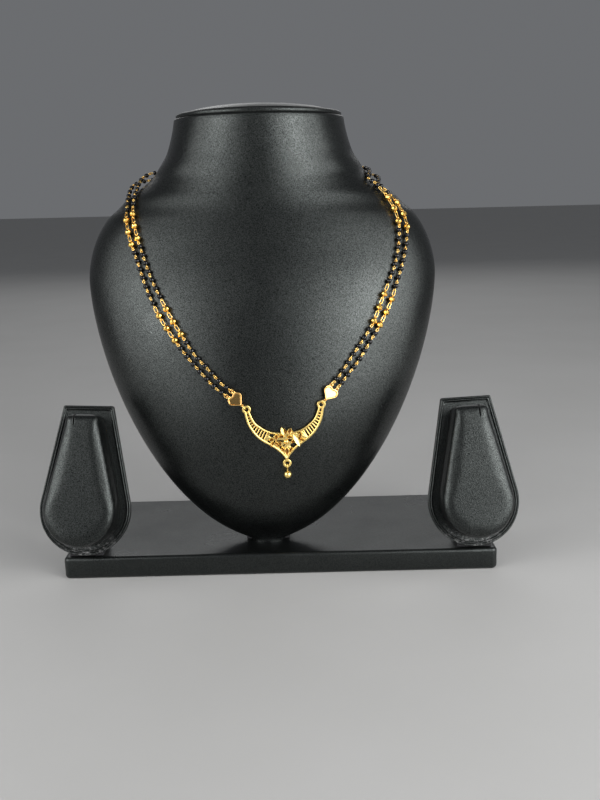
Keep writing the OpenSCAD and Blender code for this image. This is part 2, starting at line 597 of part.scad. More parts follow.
module field() {
    n = len(UPPER_END) * 3;
    upper = [for (i = [len(UPPER_EDGE) - 1 - n:len(UPPER_EDGE) - 1]) UPPER_EDGE[i]];
    k = len(LOWER_END) * 3;
    lower = [for (i = [len(LOWER_EDGE) - 1 - k:len(LOWER_EDGE) - 1]) LOWER_EDGE[i]];
    polygon(concat(upper, reversed(mirrored(upper)), mirrored(lower), [[0, -pendant_drop]], reversed(lower)));
}

tip_ring_v = -pendant_drop - tip_ring_r + 0.35;
// Small ball in the middle of the field, by shares of ear_half_span and pendant_drop, and its radius
MIDDLE_BALL = [0.01, 0.655];
middle_ball_r = 1.35;

module pendant() {
    color("#d9a840") on_bust_frame() multmatrix(pendant_frame) translate([0, ear_v, 0]) {
        difference() {
            union() {
                translate([0, 0, -plate_t / 2]) linear_extrude(plate_t) {
                    for (m = [0, 1], i = [1:bars]) mirror([m, 0])
                        bar(ear_r + (WING_RUN[len(WING) - 1] - ear_r) * (i - 0.5) / bars);
                    difference() {
                        field();
                        placed_leaves(FIELD_HOLES, 0);
                    }
                }
                translate([0, 0, -plate_t / 2]) linear_extrude(rail_t) rails();
                translate([0, 0, -plate_t / 2]) linear_extrude(leaf_t) difference() {
                    placed_leaves(LEAVES, 0);
                    placed_leaves(LEAVES, -leaf_wall);
                }
                translate([0, 0, -plate_t / 2]) linear_extrude(leaf_t + 0.2) placed_leaves(TALL_LEAVES, 0);
                translate(in_mm(MIDDLE_BALL)) sphere(middle_ball_r, $fn = fine);
                for (s = [-1, 1]) translate([s * ear_half_span, 0, 0])
                    cylinder(h = ear_t, r = ear_r, center = true, $fn = fine);
                translate([0, tip_ring_v, 0])
                    cylinder(h = ear_t, r = tip_ring_r, center = true, $fn = fine);
            }
            for (s = [-1, 1]) translate([s * ear_half_span, 0, 0])
                cylinder(h = 4 * ear_r, r = ear_hole_r, center = true, $fn = fine);
            translate([0, tip_ring_v, 0]) cylinder(h = 4 * tip_ring_r, r = tip_hole_r, center = true, $fn = fine);
            // The plate's back is flat
            translate([0, -pendant_drop / 2, -plate_t / 2 - middle_ball_r])
                cube([4 * middle_ball_r, pendant_drop, 2 * middle_ball_r], center = true);
        }
    }
}

drop_wire_r = 0.27;
drop_loop_r = 1.2;

// The drop's loop goes through the tip ring, and a short neck carries the ball
module pendant_drop() {
    band = (tip_ring_r + tip_hole_r) / 2;
    color("#d9a840") on_bust_frame() multmatrix(pendant_frame) translate([0, ear_v + tip_ring_v - band, 0]) {
        rotate([0, 90, 0]) ring(drop_loop_r, drop_wire_r);
        translate([0, -drop_loop_r, 0]) rotate([90, 0, 0]) cylinder(h = drop_neck + 0.4, r = 0.4, $fn = fine);
        translate([0, -drop_loop_r - drop_neck - ball_r, 0]) sphere(ball_r, $fn = 96);
    }
}

module ring(r, wire_r) {
    rotate_extrude($fn = fine) translate([r, 0]) circle(wire_r, $fn = fine);
}

module jump_ring(side) {
    e = ear_side(side);
    h = heart_eye(side);
    out = pendant_out + normal_at(h[0], h[2]);
    color("#d9a840") on_bust_frame() multmatrix(frame((e + h) / 2, h - e, out))
        rotate([90, 0, 0]) ring(jump_r, jump_wire_r);
}

// A heart with its point along X, drawn inset by m
module heart_outline(m) {
    s = heart_side;
    rotate(-135) translate([-s / 2, -s / 2]) translate([m, m]) square(s - 2 * m);
    for (y = [-1, 1]) translate([-lobe_shift, y * lobe_shift]) circle(s / 2 - m, $fn = 64);
}

// The places of a heart's three eyes, each with its radius and its hole's radius
HEART_EYES = [[[point_eye_x, 0], point_eye_r, point_hole_r],
    for (y = [-lobe_eye_y, lobe_eye_y]) [[-lobe_eye_x, y], lobe_eye_r, lobe_hole_r]];

module heart(side) {
    color("#e0b14a") on_bust_frame() multmatrix(heart_frame(side)) difference() {
        union() {
            linear_extrude(heart_t, center = true) heart_outline(0);
            for (e = HEART_EYES) translate(e[0])
                cylinder(h = heart_eye_t, r = e[1], center = true, $fn = fine);
        }
        translate([0, 0, heart_t / 2 - heart_recess]) linear_extrude(1) heart_outline(heart_rim);
        for (e = HEART_EYES) translate(e[0]) cylinder(h = 2 * heart_t, r = e[2], center = true, $fn = fine);
    }
}

module black_bead() {
    difference() {
        intersection() {
            sphere(bead_r, $fn = 96);
            cube([bead_d + 1, bead_d + 1, bead_l], center = true);
        }
        cylinder(h = bead_l + 1, r = pin_r + bore_gap, center = true, $fn = fine);
    }
}

// The wire through a black bead, with an eye bent at each end
module bead_pin(pitch, turns) {
    eye_at = pitch / 2 + loop_reach - eye_r;
    cylinder(h = 2 * (eye_at - eye_r), r = pin_r, center = true, $fn = fine);
    for (s = [0, 1]) translate([0, 0, (2 * s - 1) * eye_at])
        rotate([90, 0, turns[s]]) ring(eye_r, eye_wire_r);
}

module oval_link() {
    end_at = link_pitch / 2 + loop_reach - link_w / 2;
    rotate([90, 0, 0]) {
        for (s = [0, 180]) rotate(s) translate([0, end_at]) rotate_extrude(angle = 180, $fn = fine)
            translate([link_w / 2, 0]) circle(link_wire_r, $fn = fine);
        for (x = [-1, 1]) translate([x * link_w / 2, 0, 0]) rotate([90, 0, 0])
            cylinder(h = 2 * end_at, r = link_wire_r, center = true, $fn = fine);
    }
}

// Levels of a cut gold bead: share of its half length, share of its radius, turn in steps
GOLD_LEVELS = [[-1, 0.46, 0], [-0.55, 0.9, 0.5], [0, 1, 0], [0.55, 0.9, 0.5], [1, 0.46, 0]];

module gold_bead_body() {
    n = gold_sides;
    loops = [for (g = GOLD_LEVELS) [for (i = [0:n - 1]) let(a = (i + g[2]) * 360 / n)
        [gold_d / 2 * g[1] * cos(a), gold_d / 2 * g[1] * sin(a), gold_l / 2 * g[0]]]];
    m = len(loops);
    polyhedron([for (l = loops) each l], concat([[for (i = [0:n - 1]) i]],
        [for (j = [0:m - 2], i = [0:n - 1]) let(a = j * n + i, b = j * n + (i + 1) % n, odd = j % 2) each
            (odd == 0 ? [[a, a + n, b], [b, a + n, b + n]] : [[a, a + n, b + n], [a, b + n, b]])],
        [[for (i = [n - 1:-1:0]) (m - 1) * n + i]]));
}

module gold_bead() {
    gold_bead_body();
    for (s = [-1, 1]) translate([0, 0, s * (gold_reach - gold_eye_r)]) rotate([90, 0, 0])
        ring(gold_eye_r, eye_wire_r);
}

module beads(k) {
    color("#08080a") on_bust_frame() for (i = [0:len(PIECES) - 1]) if (PIECES[i][0] == 1)
        multmatrix(piece_frame(k, i)) black_bead();
}

module links(k) {
    color("#d9a840") on_bust_frame() for (i = [0:len(PIECES) - 1]) if (PIECES[i][0] != 2)
        multmatrix(piece_frame(k, i)) {
            if (PIECES[i][0] == 0) rotate(start_turn(i)) oval_link();
            if (PIECES[i][0] == 1) bead_pin(PIECES[i][1], [start_turn(i), end_turn(i)]);
            if (PIECES[i][0] == 3) rotate([90, 0, start_turn(i)]) ring(small_ring_r, eye_wire_r);
        }
}

GOLD_PLACES = [for (i = [0:len(PIECES) - 1]) if (PIECES[i][0] == 2) i];

module gold(k, j) {
    i = GOLD_PLACES[j];
    color("#e3b24c") on_bust_frame() multmatrix(piece_frame(k, i)) rotate(start_turn(i)) gold_bead();
}

// The clasp lies level across the back, and each side's two strands end at its ring
clasp_z = 212.4;
clasp_eye_r = 1.2;
clasp_wire_r = 0.35;
clasp_behind = clasp_r + seat_gap;
clasp_eye_x = clasp_l / 2 + clasp_eye_r - 0.1;
end_ring_x = clasp_eye_x + clasp_eye_r - clasp_wire_r - end_wire_r - loop_gap + end_ring_r;
strand_end_x = end_ring_x + end_ring_r + end_wire_r + seat_gap;
strand_end_z = back_strand_d / 2 + 0.1;
function back_end(k) = let(z = clasp_z + (k == 1 || k == 2 ? 1 : -1) * strand_end_z)
    [STRAND_SIDE[k] * strand_end_x, back_y(z) + clasp_behind, z];

module end_ring(side) {
    color("#d9a840") on_bust_frame() translate([side * end_ring_x, back_y(clasp_z) + clasp_behind, clasp_z])
        rotate([90 - bust_lean, 0, 0]) ring(end_ring_r, end_wire_r);
}

module clasp() {
    color("#d9a840") on_bust_frame() translate([0, back_y(clasp_z) + clasp_behind, clasp_z])
        rotate([-bust_lean, 0, 0]) {
            rotate([0, 90, 0]) cylinder(h = clasp_l, r = clasp_r, center = true, $fn = fine);
            for (x = [-1, 1]) translate([x * clasp_eye_x, 0, 0]) ring(clasp_eye_r, clasp_wire_r);
        }
}

// The strand behind the bust: a plain round tube along its route
module back_strand(k) {
    last = joint(k, STRAND_L);
    before = joint(k, STARTS[len(PIECES) - 1]);
    ahead = unit(last - before);
    start = last + ahead * (eye_wire_r + loop_reach + 1.5 * seat_gap);
    over = [for (p = BACK_ROUTES[k]) [p[0], back_y(p[2]) + p[1], p[2]]];
    path = spline(concat([start, start + ahead * back_strand_d], over, [back_end(k)]), 2);
    color("#111114") on_bust_frame() loft([for (i = [0:len(path) - 1]) let(
            a = path[max(i - 1, 0)], b = path[min(i + 1, len(path) - 1)],
            f = frame(path[i], b - a, [0, 0, 1]))
        [for (j = [0:7]) moved(f, back_strand_d / 2 * [cos(45 * j), sin(45 * j), 0])]]);
}

base_board();
bust_shell();
bust_back_board();
bust_wedge();
neck_cap();
pad_backing(-1);  // pad_backing_left
pad_backing(1);  // pad_backing_right
pad_cushion(-1);  // pad_cushion_left
pad_cushion(1);  // pad_cushion_right
pad_leg(-1);  // pad_leg_left
pad_leg(1);  // pad_leg_right
pendant();
pendant_drop();
jump_ring(-1);  // jump_ring_left
jump_ring(1);  // jump_ring_right
heart(-1);  // heart_left
heart(1);  // heart_right
for (k = [0:3]) {
    beads(k);
    links(k);
    back_strand(k);
    for (j = [0:2 * gold_count - 1])
        gold(k, j);
}
end_ring(-1);  // end_ring_left
end_ring(1);  // end_ring_right
clasp();
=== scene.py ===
import math

import bmesh
import bpy
import numpy as np
from mathutils import Matrix, Vector


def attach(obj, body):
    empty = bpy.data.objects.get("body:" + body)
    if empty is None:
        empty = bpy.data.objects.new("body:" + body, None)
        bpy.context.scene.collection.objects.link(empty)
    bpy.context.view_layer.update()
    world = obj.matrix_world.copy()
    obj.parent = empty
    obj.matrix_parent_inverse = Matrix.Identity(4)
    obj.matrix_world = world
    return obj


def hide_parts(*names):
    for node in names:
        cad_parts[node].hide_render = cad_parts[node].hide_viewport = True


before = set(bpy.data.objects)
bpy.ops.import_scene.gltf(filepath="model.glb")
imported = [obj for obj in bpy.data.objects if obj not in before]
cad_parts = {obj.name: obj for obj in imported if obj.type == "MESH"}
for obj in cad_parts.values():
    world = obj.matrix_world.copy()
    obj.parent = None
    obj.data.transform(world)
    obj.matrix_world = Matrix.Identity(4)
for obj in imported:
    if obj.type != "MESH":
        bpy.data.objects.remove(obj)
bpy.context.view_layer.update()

# Camera. It stands half a metre in front of the stand, a little under the top of the neck, and looks down
# by twelve and a half degrees. It is tipped sideways by a degree and a half, as it was hand-held.
camera_place = (0.0125, -0.5174, 0.2021)
camera_pitch, camera_roll = 77.5, -1.4
camera = bpy.data.objects.new("camera", bpy.data.cameras.new("camera"))
camera.data.sensor_fit = "HORIZONTAL"
camera.data.sensor_width = 36
camera.data.lens = 56.58
camera.matrix_world = (Matrix.Translation(camera_place)
                       @ Matrix.Rotation(math.radians(camera_pitch), 4, "X")
                       @ Matrix.Rotation(math.radians(camera_roll), 4, "Z"))
bpy.context.scene.collection.objects.link(camera)
bpy.context.scene.camera = camera


# Floor and light. A plain pale table top. Two large soft boxes, each with a small bare lamp, stand in front
# to the left and right, and one hangs behind. The room is dim and nothing shines from the camera, so that
# black and gold keep their darks.
def shader_node(material, kind, inputs=None, **settings):
    """A shader node with its settings, its sockets set to numbers or joined to other nodes' sockets."""
    made = material.node_tree.nodes.new("ShaderNode" + kind)
    for key, value in settings.items():
        setattr(made, key, value)
    for key, value in (inputs or {}).items():
        if isinstance(value, bpy.types.NodeSocket):
            material.node_tree.links.new(value, made.inputs[key])
        else:
            made.inputs[key].default_value = value
    return made


def new_material(name, **fixed):
    """A material, its main shader with the fixed sockets set, and the object's own coordinates."""
    material = bpy.data.materials.new(name)
    material.use_nodes = True
    shader = material.node_tree.nodes["Principled BSDF"]
    for key, value in fixed.items():
        shader.inputs[key.replace("_", " ")].default_value = value
    place = shader_node(material, "TexCoord").outputs["Object"]
    return material, shader, place


def blend_colours(material, share, first, second):
    """A colour between two colours, by the share socket."""
    mix = shader_node(material, "Mix", {"Factor": share}, data_type="RGBA")
    mix.inputs[6].default_value = (*first, 1)
    mix.inputs[7].default_value = (*second, 1)
    return mix.outputs[2]


def join_shader(material, shader, **joined):
    """Joins sockets to the shader's inputs."""
    for key, socket in joined.items():
        material.node_tree.links.new(socket, shader.inputs[key.replace("_", " ")])


def noise(material, place, scale, detail, roughness=0.5):
    """A cloudy noise, from 0 to 1."""
    return shader_node(material, "TexNoise", {"Vector": place, "Scale": scale, "Detail": detail,
                                              "Roughness": roughness}).outputs["Fac"]


def spread(material, value, low, high, to_low=0.0, to_high=1.0):
    """A value's range spread over another range and cut off at its ends."""
    return shader_node(material, "MapRange", {"Value": value, "From Min": low, "From Max": high,
                                              "To Min": to_low, "To Max": to_high}).outputs[0]


table_half = 9
table_dark, table_light = (0.42, 0.417, 0.408), (0.47, 0.467, 0.46)
table_top, shader, place = new_material("table_top", Roughness=0.7)
mottle = noise(table_top, place, 9.0, 4.0)
join_shader(table_top, shader, Base_Color=blend_colours(table_top, mottle, table_dark, table_light))
floor = bpy.data.objects.new("table", bpy.data.meshes.new("table"))
corners = [(-table_half, -table_half, 0), (table_half, -table_half, 0),
           (table_half, table_half, 0), (-table_half, table_half, 0)]
floor.data.from_pydata(corners, [], [(0, 1, 2, 3)])
floor.data.materials.append(table_top)
bpy.context.scene.collection.objects.link(floor)

room = bpy.data.worlds.new("room")
room.use_nodes = True
room.node_tree.nodes["Background"].inputs["Color"].default_value = (0.92, 0.95, 1.0, 1)
room.node_tree.nodes["Background"].inputs["Strength"].default_value = 0.16
bpy.context.scene.world = room


def soft_box(name, place, aim, width, height, power):
    """A rectangular soft light at a place, turned to a point."""
    light = bpy.data.lights.new(name, "AREA")
    light.shape = "RECTANGLE"
    light.size, light.size_y, light.energy = width, height, power
    holder = bpy.data.objects.new(name, light)
    holder.location = place
    holder.rotation_euler = (Vector(aim) - Vector(place)).to_track_quat("-Z", "Y").to_euler()
    bpy.context.scene.collection.objects.link(holder)


chest_middle, stand_foot = (0, 0, 0.13), (0, 0, 0)
soft_box("left_soft_box", (-0.70, -0.49, 0.41), chest_middle, 1.00, 0.78, 6.4)
soft_box("right_soft_box", (0.66, -0.53, 0.37), chest_middle, 1.06, 0.78, 11.2)
soft_box("left_lamp", (-0.58, -0.46, 0.38), chest_middle, 0.09, 0.09, 0.7)
soft_box("right_lamp", (0.55, -0.50, 0.38), chest_middle, 0.09, 0.09, 0.9)
soft_box("back_soft_box", (0, 1.5, 1.02), stand_foot, 1.7, 0.8, 5.0)
bpy.context.scene.view_settings.view_transform = "Standard"


# Base board. A slab of fibreboard with eased edges, wrapped in black grained leatherette that is glued down
# and folded in at the ends. The bust and both ear pads stand on it. Sizes are in millimetres from here on.
def piece(name, vertices, faces, material, slot, crease=38):
    """A piece from points in millimetres, smooth up to the crease angle, fixed to the stand."""
    mesh = bpy.data.meshes.new(name)
    mesh.from_pydata([(x / 1000, y / 1000, z / 1000) for x, y, z in vertices], [], faces)
    shell = bmesh.new()
    shell.from_mesh(mesh)
    bmesh.ops.recalc_face_normals(shell, faces=shell.faces)
    shell.to_mesh(mesh)
    shell.free()
    mesh.polygons.foreach_set("use_smooth", [True] * len(mesh.polygons))
    mesh.set_sharp_from_angle(angle=math.radians(crease))
    mesh.materials.append(material)
    made = bpy.data.objects.new(name, mesh)
    bpy.context.scene.collection.objects.link(made)
    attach(made, "root")
    return made


def loft(loops):
    """A closed skin through loops of equal count, from the first to the last, with both ends filled."""
    n = len(loops[0])
    last = (len(loops) - 1) * n
    faces = [(j * n + i, j * n + (i + 1) % n, (j + 1) * n + (i + 1) % n, (j + 1) * n + i)
             for j in range(len(loops) - 1) for i in range(n)]
    faces += [tuple(range(n - 1, -1, -1)), tuple(range(last, last + n))]
    return [p for loop in loops for p in loop], faces


def bumps(material, height, strength, depth):
    """A surface raised by a height socket, by a depth in millimetres at most."""
    return shader_node(material, "Bump", {"Height": height, "Strength": strength,
                                          "Distance": depth / 1000}).outputs[0]


def leatherette(name, roughness, depth, speckle=0.8, rubbed=None):
    """Black coated cloth: a pressed grain with a depth in millimetres, uneven gloss and rubbed edges.

    A rubbed foot is worn below the first of its two heights in metres, and clean above the second."""
    material, shader, place = new_material(name, Specular_Tint=(0.92, 1.0, 0.97, 1))
    dark, light, grey = (0.0008, 0.001, 0.001), (0.005, 0.0055, 0.0055), (0.16, 0.16, 0.16)
    pebble = shader_node(material, "TexVoronoi", {"Vector": place, "Scale": 2000.0},
                         feature="SMOOTH_F1").outputs["Distance"]
    crease = noise(material, place, 2200.0, 2.0, 0.6)
    relief = shader_node(material, "Math", {0: pebble, 1: crease}, operation="ADD").outputs[0]
    crest = spread(material, crease, 0.36, 0.64)
    edge = shader_node(material, "NewGeometry").outputs["Pointiness"]
    wear = spread(material, edge, 0.53, 0.62, 0.0, 0.3)
    if rubbed:
        worst, clean = rubbed
        level = shader_node(material, "SeparateXYZ", {0: place}).outputs["Z"]
        foot = spread(material, level, clean, worst)
        scratches = spread(material, noise(material, place, 520.0, 6.0, 0.8), 0.50, 0.62)
        scuff = shader_node(material, "Math", {0: foot, 1: scratches}, operation="MULTIPLY").outputs[0]
        wear = shader_node(material, "Math", {0: wear, 1: scuff}, operation="MAXIMUM").outputs[0]
    worn = shader_node(material, "Mix", {"Factor": wear}, data_type="RGBA")
    material.node_tree.links.new(blend_colours(material, crest, dark, light), worn.inputs[6])
    worn.inputs[7].default_value = (*grey, 1)
    gloss = spread(material, noise(material, place, 34.0, 3.0), 0.3, 0.7, roughness - 0.05, roughness + 0.07)
    shine = spread(material, crest, 0.0, 1.0, 0.45 - 0.33 * speckle, 0.45 + 0.40 * speckle)
    join_shader(material, shader, Base_Color=worn.outputs[2], Roughness=gloss, Specular_IOR_Level=shine,
                Normal=bumps(material, relief, 0.9, depth))
    return material


board_width, board_depth, board_height = 234, 95, 12
board_middle_y = 7.63
board_corner, board_edge, least_corner = 3, 2, 0.6


def board_loop(inset, height):
    """The board's outline with rounded corners, drawn inward by an inset."""
    radius = max(board_corner - inset, least_corner)
    across, along = board_width / 2 - inset - radius, board_depth / 2 - inset - radius
    loop = []
    for quarter, (sx, sy) in enumerate([(1, 1), (-1, 1), (-1, -1), (1, -1)]):
        for step in range(7):
            a = math.radians(90 * quarter + 15 * step)
            loop.append((sx * across + radius * math.cos(a),
                         board_middle_y + sy * along + radius * math.sin(a), height))
    return loop


def eased(radius, low, high, steps=5):
    """Insets and heights of a slab's side with both edges rounded, going up."""
    turn = [math.radians(90 * i / steps) for i in range(steps + 1)]
    on_face = radius + 0.7
    return ([(on_face, low)]
            + [(radius * (1 - math.sin(a)), low + radius * (1 - math.cos(a))) for a in turn]
            + [(radius * (1 - math.cos(a)), high - radius * (1 - math.sin(a))) for a in turn]
            + [(on_face, high)])


board_wrap = leatherette("board_leatherette", 0.30, 0.04, speckle=0.3)
board = piece("base_board_wrapped", *loft([board_loop(m, h) for m, h in eased(board_edge, 0, board_height)]),
              board_wrap, "board_wrap")
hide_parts("base_board")


# Neck bust. A moulded shell in the form of a neck and chest, cut flat at the back, covered in one piece of
# black grained leatherette that is stretched over the front and turned in round the rim.
bust_x, bust_y = -7, board_middle_y
bust_height, bust_half_width, bust_depth = 231, 97.5, 46
bust_lean = math.tan(math.radians(14))
bust_foot_y, bust_tip_half_width, shell_wall = -24.02, 9, 3
widest_at, low_curve_top, low_curve_side = 0.625, 1.55, 1.82
rim_z, rim_round = board_height + bust_height, 1
front_steps, inner_steps, level_count = 96, 40, 150

# Shares of the height with shares of the half width, above the widest place, and of the depth
shoulder = [(0.625, 1), (0.671, 0.989), (0.721, 0.952), (0.767, 0.886), (0.792, 0.819), (0.817, 0.761),
            (0.84, 0.683), (0.8625, 0.62), (0.8875, 0.581), (0.9125, 0.544), (0.9375, 0.523), (0.971, 0.503),
            (1, 0.492)]
profile = [(0, 0.13), (0.06, 0.34), (0.14, 0.6), (0.25, 0.83), (0.36, 0.95), (0.5, 1), (0.62, 0.97),
           (0.72, 0.9), (0.8, 0.86), (0.88, 0.9), (1, 1)]


def smooth_at(rows, t):
    """The value at t of a smooth curve through a table's rows."""
    k = max(i for i in range(len(rows) - 1) if rows[i][0] <= t or i == 0)

    def slope(i):
        if i <= 0:
            return 0
        a, b = rows[i - 1], rows[min(i + 1, len(rows) - 1)]
        return (b[1] - a[1]) / (b[0] - a[0])

    (t0, v0), (t1, v1) = rows[k], rows[k + 1]
    u, h = (t - t0) / (t1 - t0), t1 - t0
    return ((2 * u ** 3 - 3 * u ** 2 + 1) * v0 + (u ** 3 - 2 * u ** 2 + u) * slope(k) * h
            + (3 * u ** 2 - 2 * u ** 3) * v1 + (u ** 3 - u ** 2) * slope(k + 1) * h)


def half_width(z):
    """Half the bust's width at a height: a full curve below the widest place, the table above it."""
    t = min(1, max(0, (z - board_height) / bust_height))
    if t >= widest_at:
        return bust_half_width * smooth_at(shoulder, t)
    low = (1 - (1 - t / widest_at) ** low_curve_top) ** (1 / low_curve_side)
    return max(bust_tip_half_width, bust_half_width * low)


def depth(z):
    """How far the chest stands out from the flat back at a height."""
    return bust_depth * smooth_at(profile, min(1, max(0, (z - board_height) / bust_height)))


def back_y(z):
    """Where the leaning flat back is at a height."""
    return bust_foot_y + bust_lean * (z - board_height)


def front_y(x, z):
    """The front of the chest, part of an ellipse at each height."""
    return back_y(z) - depth(z) * math.sqrt(max(0, 1 - (x / half_width(z)) ** 2))


def outward(x, z, e=0.4):
    """The direction straight out of the chest at a place."""
    return Vector(((front_y(x + e, z) - front_y(x - e, z)) / (2 * e), -1,
                   (front_y(x, z + e) - front_y(x, z - e)) / (2 * e))).normalized()


def shell_loop(z, inset=0):
    """One level of the covered shell: the outside round the front, the rounded back rim, the inside."""
    low, high = z - shell_wall, z + shell_wall
    wide, deep = half_width(z) - inset, depth(z) - inset
    inner_wide = max(bust_tip_half_width - shell_wall,
                     min(half_width(low), half_width(high)) - shell_wall) + inset
    inner_deep = max(shell_wall, min(depth(low), depth(high)) - shell_wall) + inset
    rear = back_y(z) - inset
    loop = []
    for w, d, steps, way in ((wide, deep, front_steps, 1), (inner_wide, inner_deep, inner_steps, -1)):
        far = math.acos(min(1, (inset + rim_round) / d))
        arc = [far * (2 * i / steps - 1) * way for i in range(steps + 1)]
        side = [(w * math.sin(a), back_y(z) - d * math.cos(a)) for a in arc]
        edge = w - rim_round if way > 0 else w + rim_round
        turn = [math.radians(30 * i) for i in (1, 2, 3)]
        curl = [(edge + way * rim_round * math.cos(a), rear - rim_round + rim_round * math.sin(a))
                for a in turn]
        if way > 0:
            loop += side + curl
        else:
            loop += curl[::-1] + side + [(-x, y) for x, y in curl]
    loop += [(-x, y) for x, y in loop[front_steps + 1:front_steps + 4]][::-1]
    return [(bust_x + x, bust_y + y, z) for x, y in loop]


even = np.linspace(0, 1, 3001) ** 2 * (bust_height - rim_round) + board_height
run = np.concatenate([[0], np.cumsum(np.hypot(np.diff([half_width(z) for z in even]), np.diff(even)))])
levels = np.interp(np.linspace(0, run[-1], level_count), run, even)
loops = [shell_loop(float(z)) for z in levels]
loops += [shell_loop(rim_z - rim_round * (1 - math.sin(a)), rim_round * (1 - math.cos(a)))
          for a in (math.radians(d) for d in (30, 60, 90))]
bust_cover = leatherette("bust_leatherette", 0.31, 0.055)
bust = piece("neck_bust", *loft(loops), bust_cover, "bust_leatherette", crease=50)
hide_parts("bust_shell")


# Back of the bust. A thin fibreboard, papered black, is let into the shell's open back, and a wooden wedge
# behind the foot, papered the same, carries the lean.
def paper(name, dark, light):
    """Black backing paper: fine fibres, matt, with faint rubbed patches."""
    material, shader, place = new_material(name, Specular_IOR_Level=0.3)
    stretch = shader_node(material, "Mapping", {"Vector": place, "Scale": (1.0, 1.0, 0.35)})
    fibre = noise(material, stretch.outputs[0], 1400.0, 6.0, 0.7)
    gloss = spread(material, noise(material, place, 40.0, 4.0), 0.0, 1.0, 0.62, 0.85)
    join_shader(material, shader, Base_Color=blend_colours(material, fibre, dark, light),
                Roughness=gloss, Normal=bumps(material, fibre, 0.5, 0.05))
    return material


def dress(material, *names):
    """Gives a CAD solid that is shown as it is its finish."""
    for name in names:
        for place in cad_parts[name].material_slots:
            place.material = material


backing = paper("backing_paper", (0.012, 0.012, 0.013), (0.035, 0.035, 0.037))
dress(backing, "bust_back_board", "bust_wedge", "pad_leg_left", "pad_leg_right")


# Neck cap. A thin disc that closes the neck: a card edge with a piped welt, and a low dome of foam under
# the same leatherette, drawn tight.
cap_inset, cap_rear, cap_corner, cap_middle, cap_steps = 1.2, 0.6, 3.0, 0.45, 72

# Insets and heights of the edge and welt, then shares of the last outline and heights of the dome
cap_profile = [(1.6, 0), (0.9, 0.05), (0.25, 0.4), (0, 1.0), (0.05, 1.6), (0.45, 2.1), (1.0, 2.3),
               (1.5, 2.15), (1.9, 2.0), (2.3, 2.15), (3.0, 2.7)]
cap_dome = [(0.9, 3.4), (0.84, 4.0), (0.76, 4.6), (0.65, 5.15), (0.52, 5.6), (0.38, 5.85), (0.2, 5.98),
            (0.06, 6.0)]


def cap_loop(inset, height, share=1):
    """The cap's outline drawn inward, or drawn in towards its middle by a share."""
    wide, deep = half_width(rim_z) - cap_inset - inset, depth(rim_z) - cap_inset * 2 - inset
    rear = back_y(rim_z) - cap_inset - inset * cap_rear
    far = math.acos(cap_corner / (deep + cap_corner))
    arc = [far * (2 * i / cap_steps - 1) for i in range(cap_steps + 1)]
    loop = [(wide * math.sin(a) / math.sin(far), rear - deep * math.cos(a)) for a in arc]
    x, y = loop[-1]
    turn = [(x - cap_corner + cap_corner * math.cos(a), min(rear, y + cap_corner * math.sin(a)))
            for a in (math.radians(18 * i) for i in range(1, 6))]
    rear_x, rear_y = turn[-1]
    loop += turn + [(rear_x * (1 - i / 6), rear_y) for i in range(1, 12)] + [(-x, y) for x, y in turn[::-1]]
    middle_y = rear - deep * cap_middle
    return [(bust_x + x * share, bust_y + middle_y + (y - middle_y) * share, rim_z + height)
            for x, y in loop]


cap = piece("neck_cap_covered", *loft([cap_loop(m, h) for m, h in cap_profile]
                                      + [cap_loop(3.0, h, s) for s, h in cap_dome]),
            bust_cover, "bust_leatherette", crease=60)
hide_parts("neck_cap")


# Ear pad backings. Two boards in the form of a drop, wrapped in leatherette, each with a double piped edge
# that frames the cushion. They lean back on their legs and turn a little toward the bust.
pad_middle_x, pad_foot_y = 105, board_middle_y - 44
pad_height, pad_half_width, pad_top_half_width = 81, 24.6, 14
pad_lean, pad_turn, pad_gap = 17, 2.4, 0.3
backing_corner, foot_steps, corner_steps = 1.1, 72, 6


def on_pad(side):
    """A pad's own place: X across it, Y up its slope, Z out to its front. It turns about its round foot."""
    hub = Vector((0, pad_half_width, 0))
    return (Matrix.Translation((side * pad_middle_x, pad_foot_y, board_height + pad_gap))
            @ Matrix.Rotation(math.radians(90 - pad_lean), 4, "X") @ Matrix.Translation(hub)
            @ Matrix.Rotation(math.radians(side * pad_turn), 4, "Z") @ Matrix.Translation(-hub))


def drop_outline(inset, corner):
    """A drop's outline drawn inward: a round foot, straight sides, and a narrower top with eased corners."""
    radius = pad_half_width - inset
    top_x, top_y = pad_top_half_width - 0.8 * inset, pad_height - inset
    far = math.hypot(top_x, top_y - pad_half_width)
    start = math.atan2(top_y - pad_half_width, top_x) - math.acos(radius / far)
    foot = [(radius * math.cos(a), pad_half_width + radius * math.sin(a))
            for a in (start - (math.pi + 2 * start) * i / foot_steps for i in range(foot_steps + 1))]
    side = Vector((top_x, top_y)) - Vector(foot[0])
    reach = corner / math.tan(math.atan2(side.y, -side.x) / 2)
    first = Vector((top_x - reach, top_y))
    last = Vector((top_x, top_y)) - side.normalized() * reach
    hub = first - Vector((0, corner))
    a0, a1 = math.pi / 2, math.atan2(last.y - hub.y, last.x - hub.x)
    turn = [(hub.x + corner * math.cos(a), hub.y + corner * math.sin(a))
            for a in (a0 + (a1 - a0) * i / corner_steps for i in range(corner_steps + 1))]
    return [(-x, y) for x, y in turn[::-1]] + turn + foot


def welt(middle, height, radius, first, last, steps=7):
    """Insets and heights of one round piping, from the outer side over the top."""
    return [(middle - radius * math.cos(a), height + radius * math.sin(a))
            for a in (math.radians(first + (last - first) * i / steps) for i in range(steps + 1))]


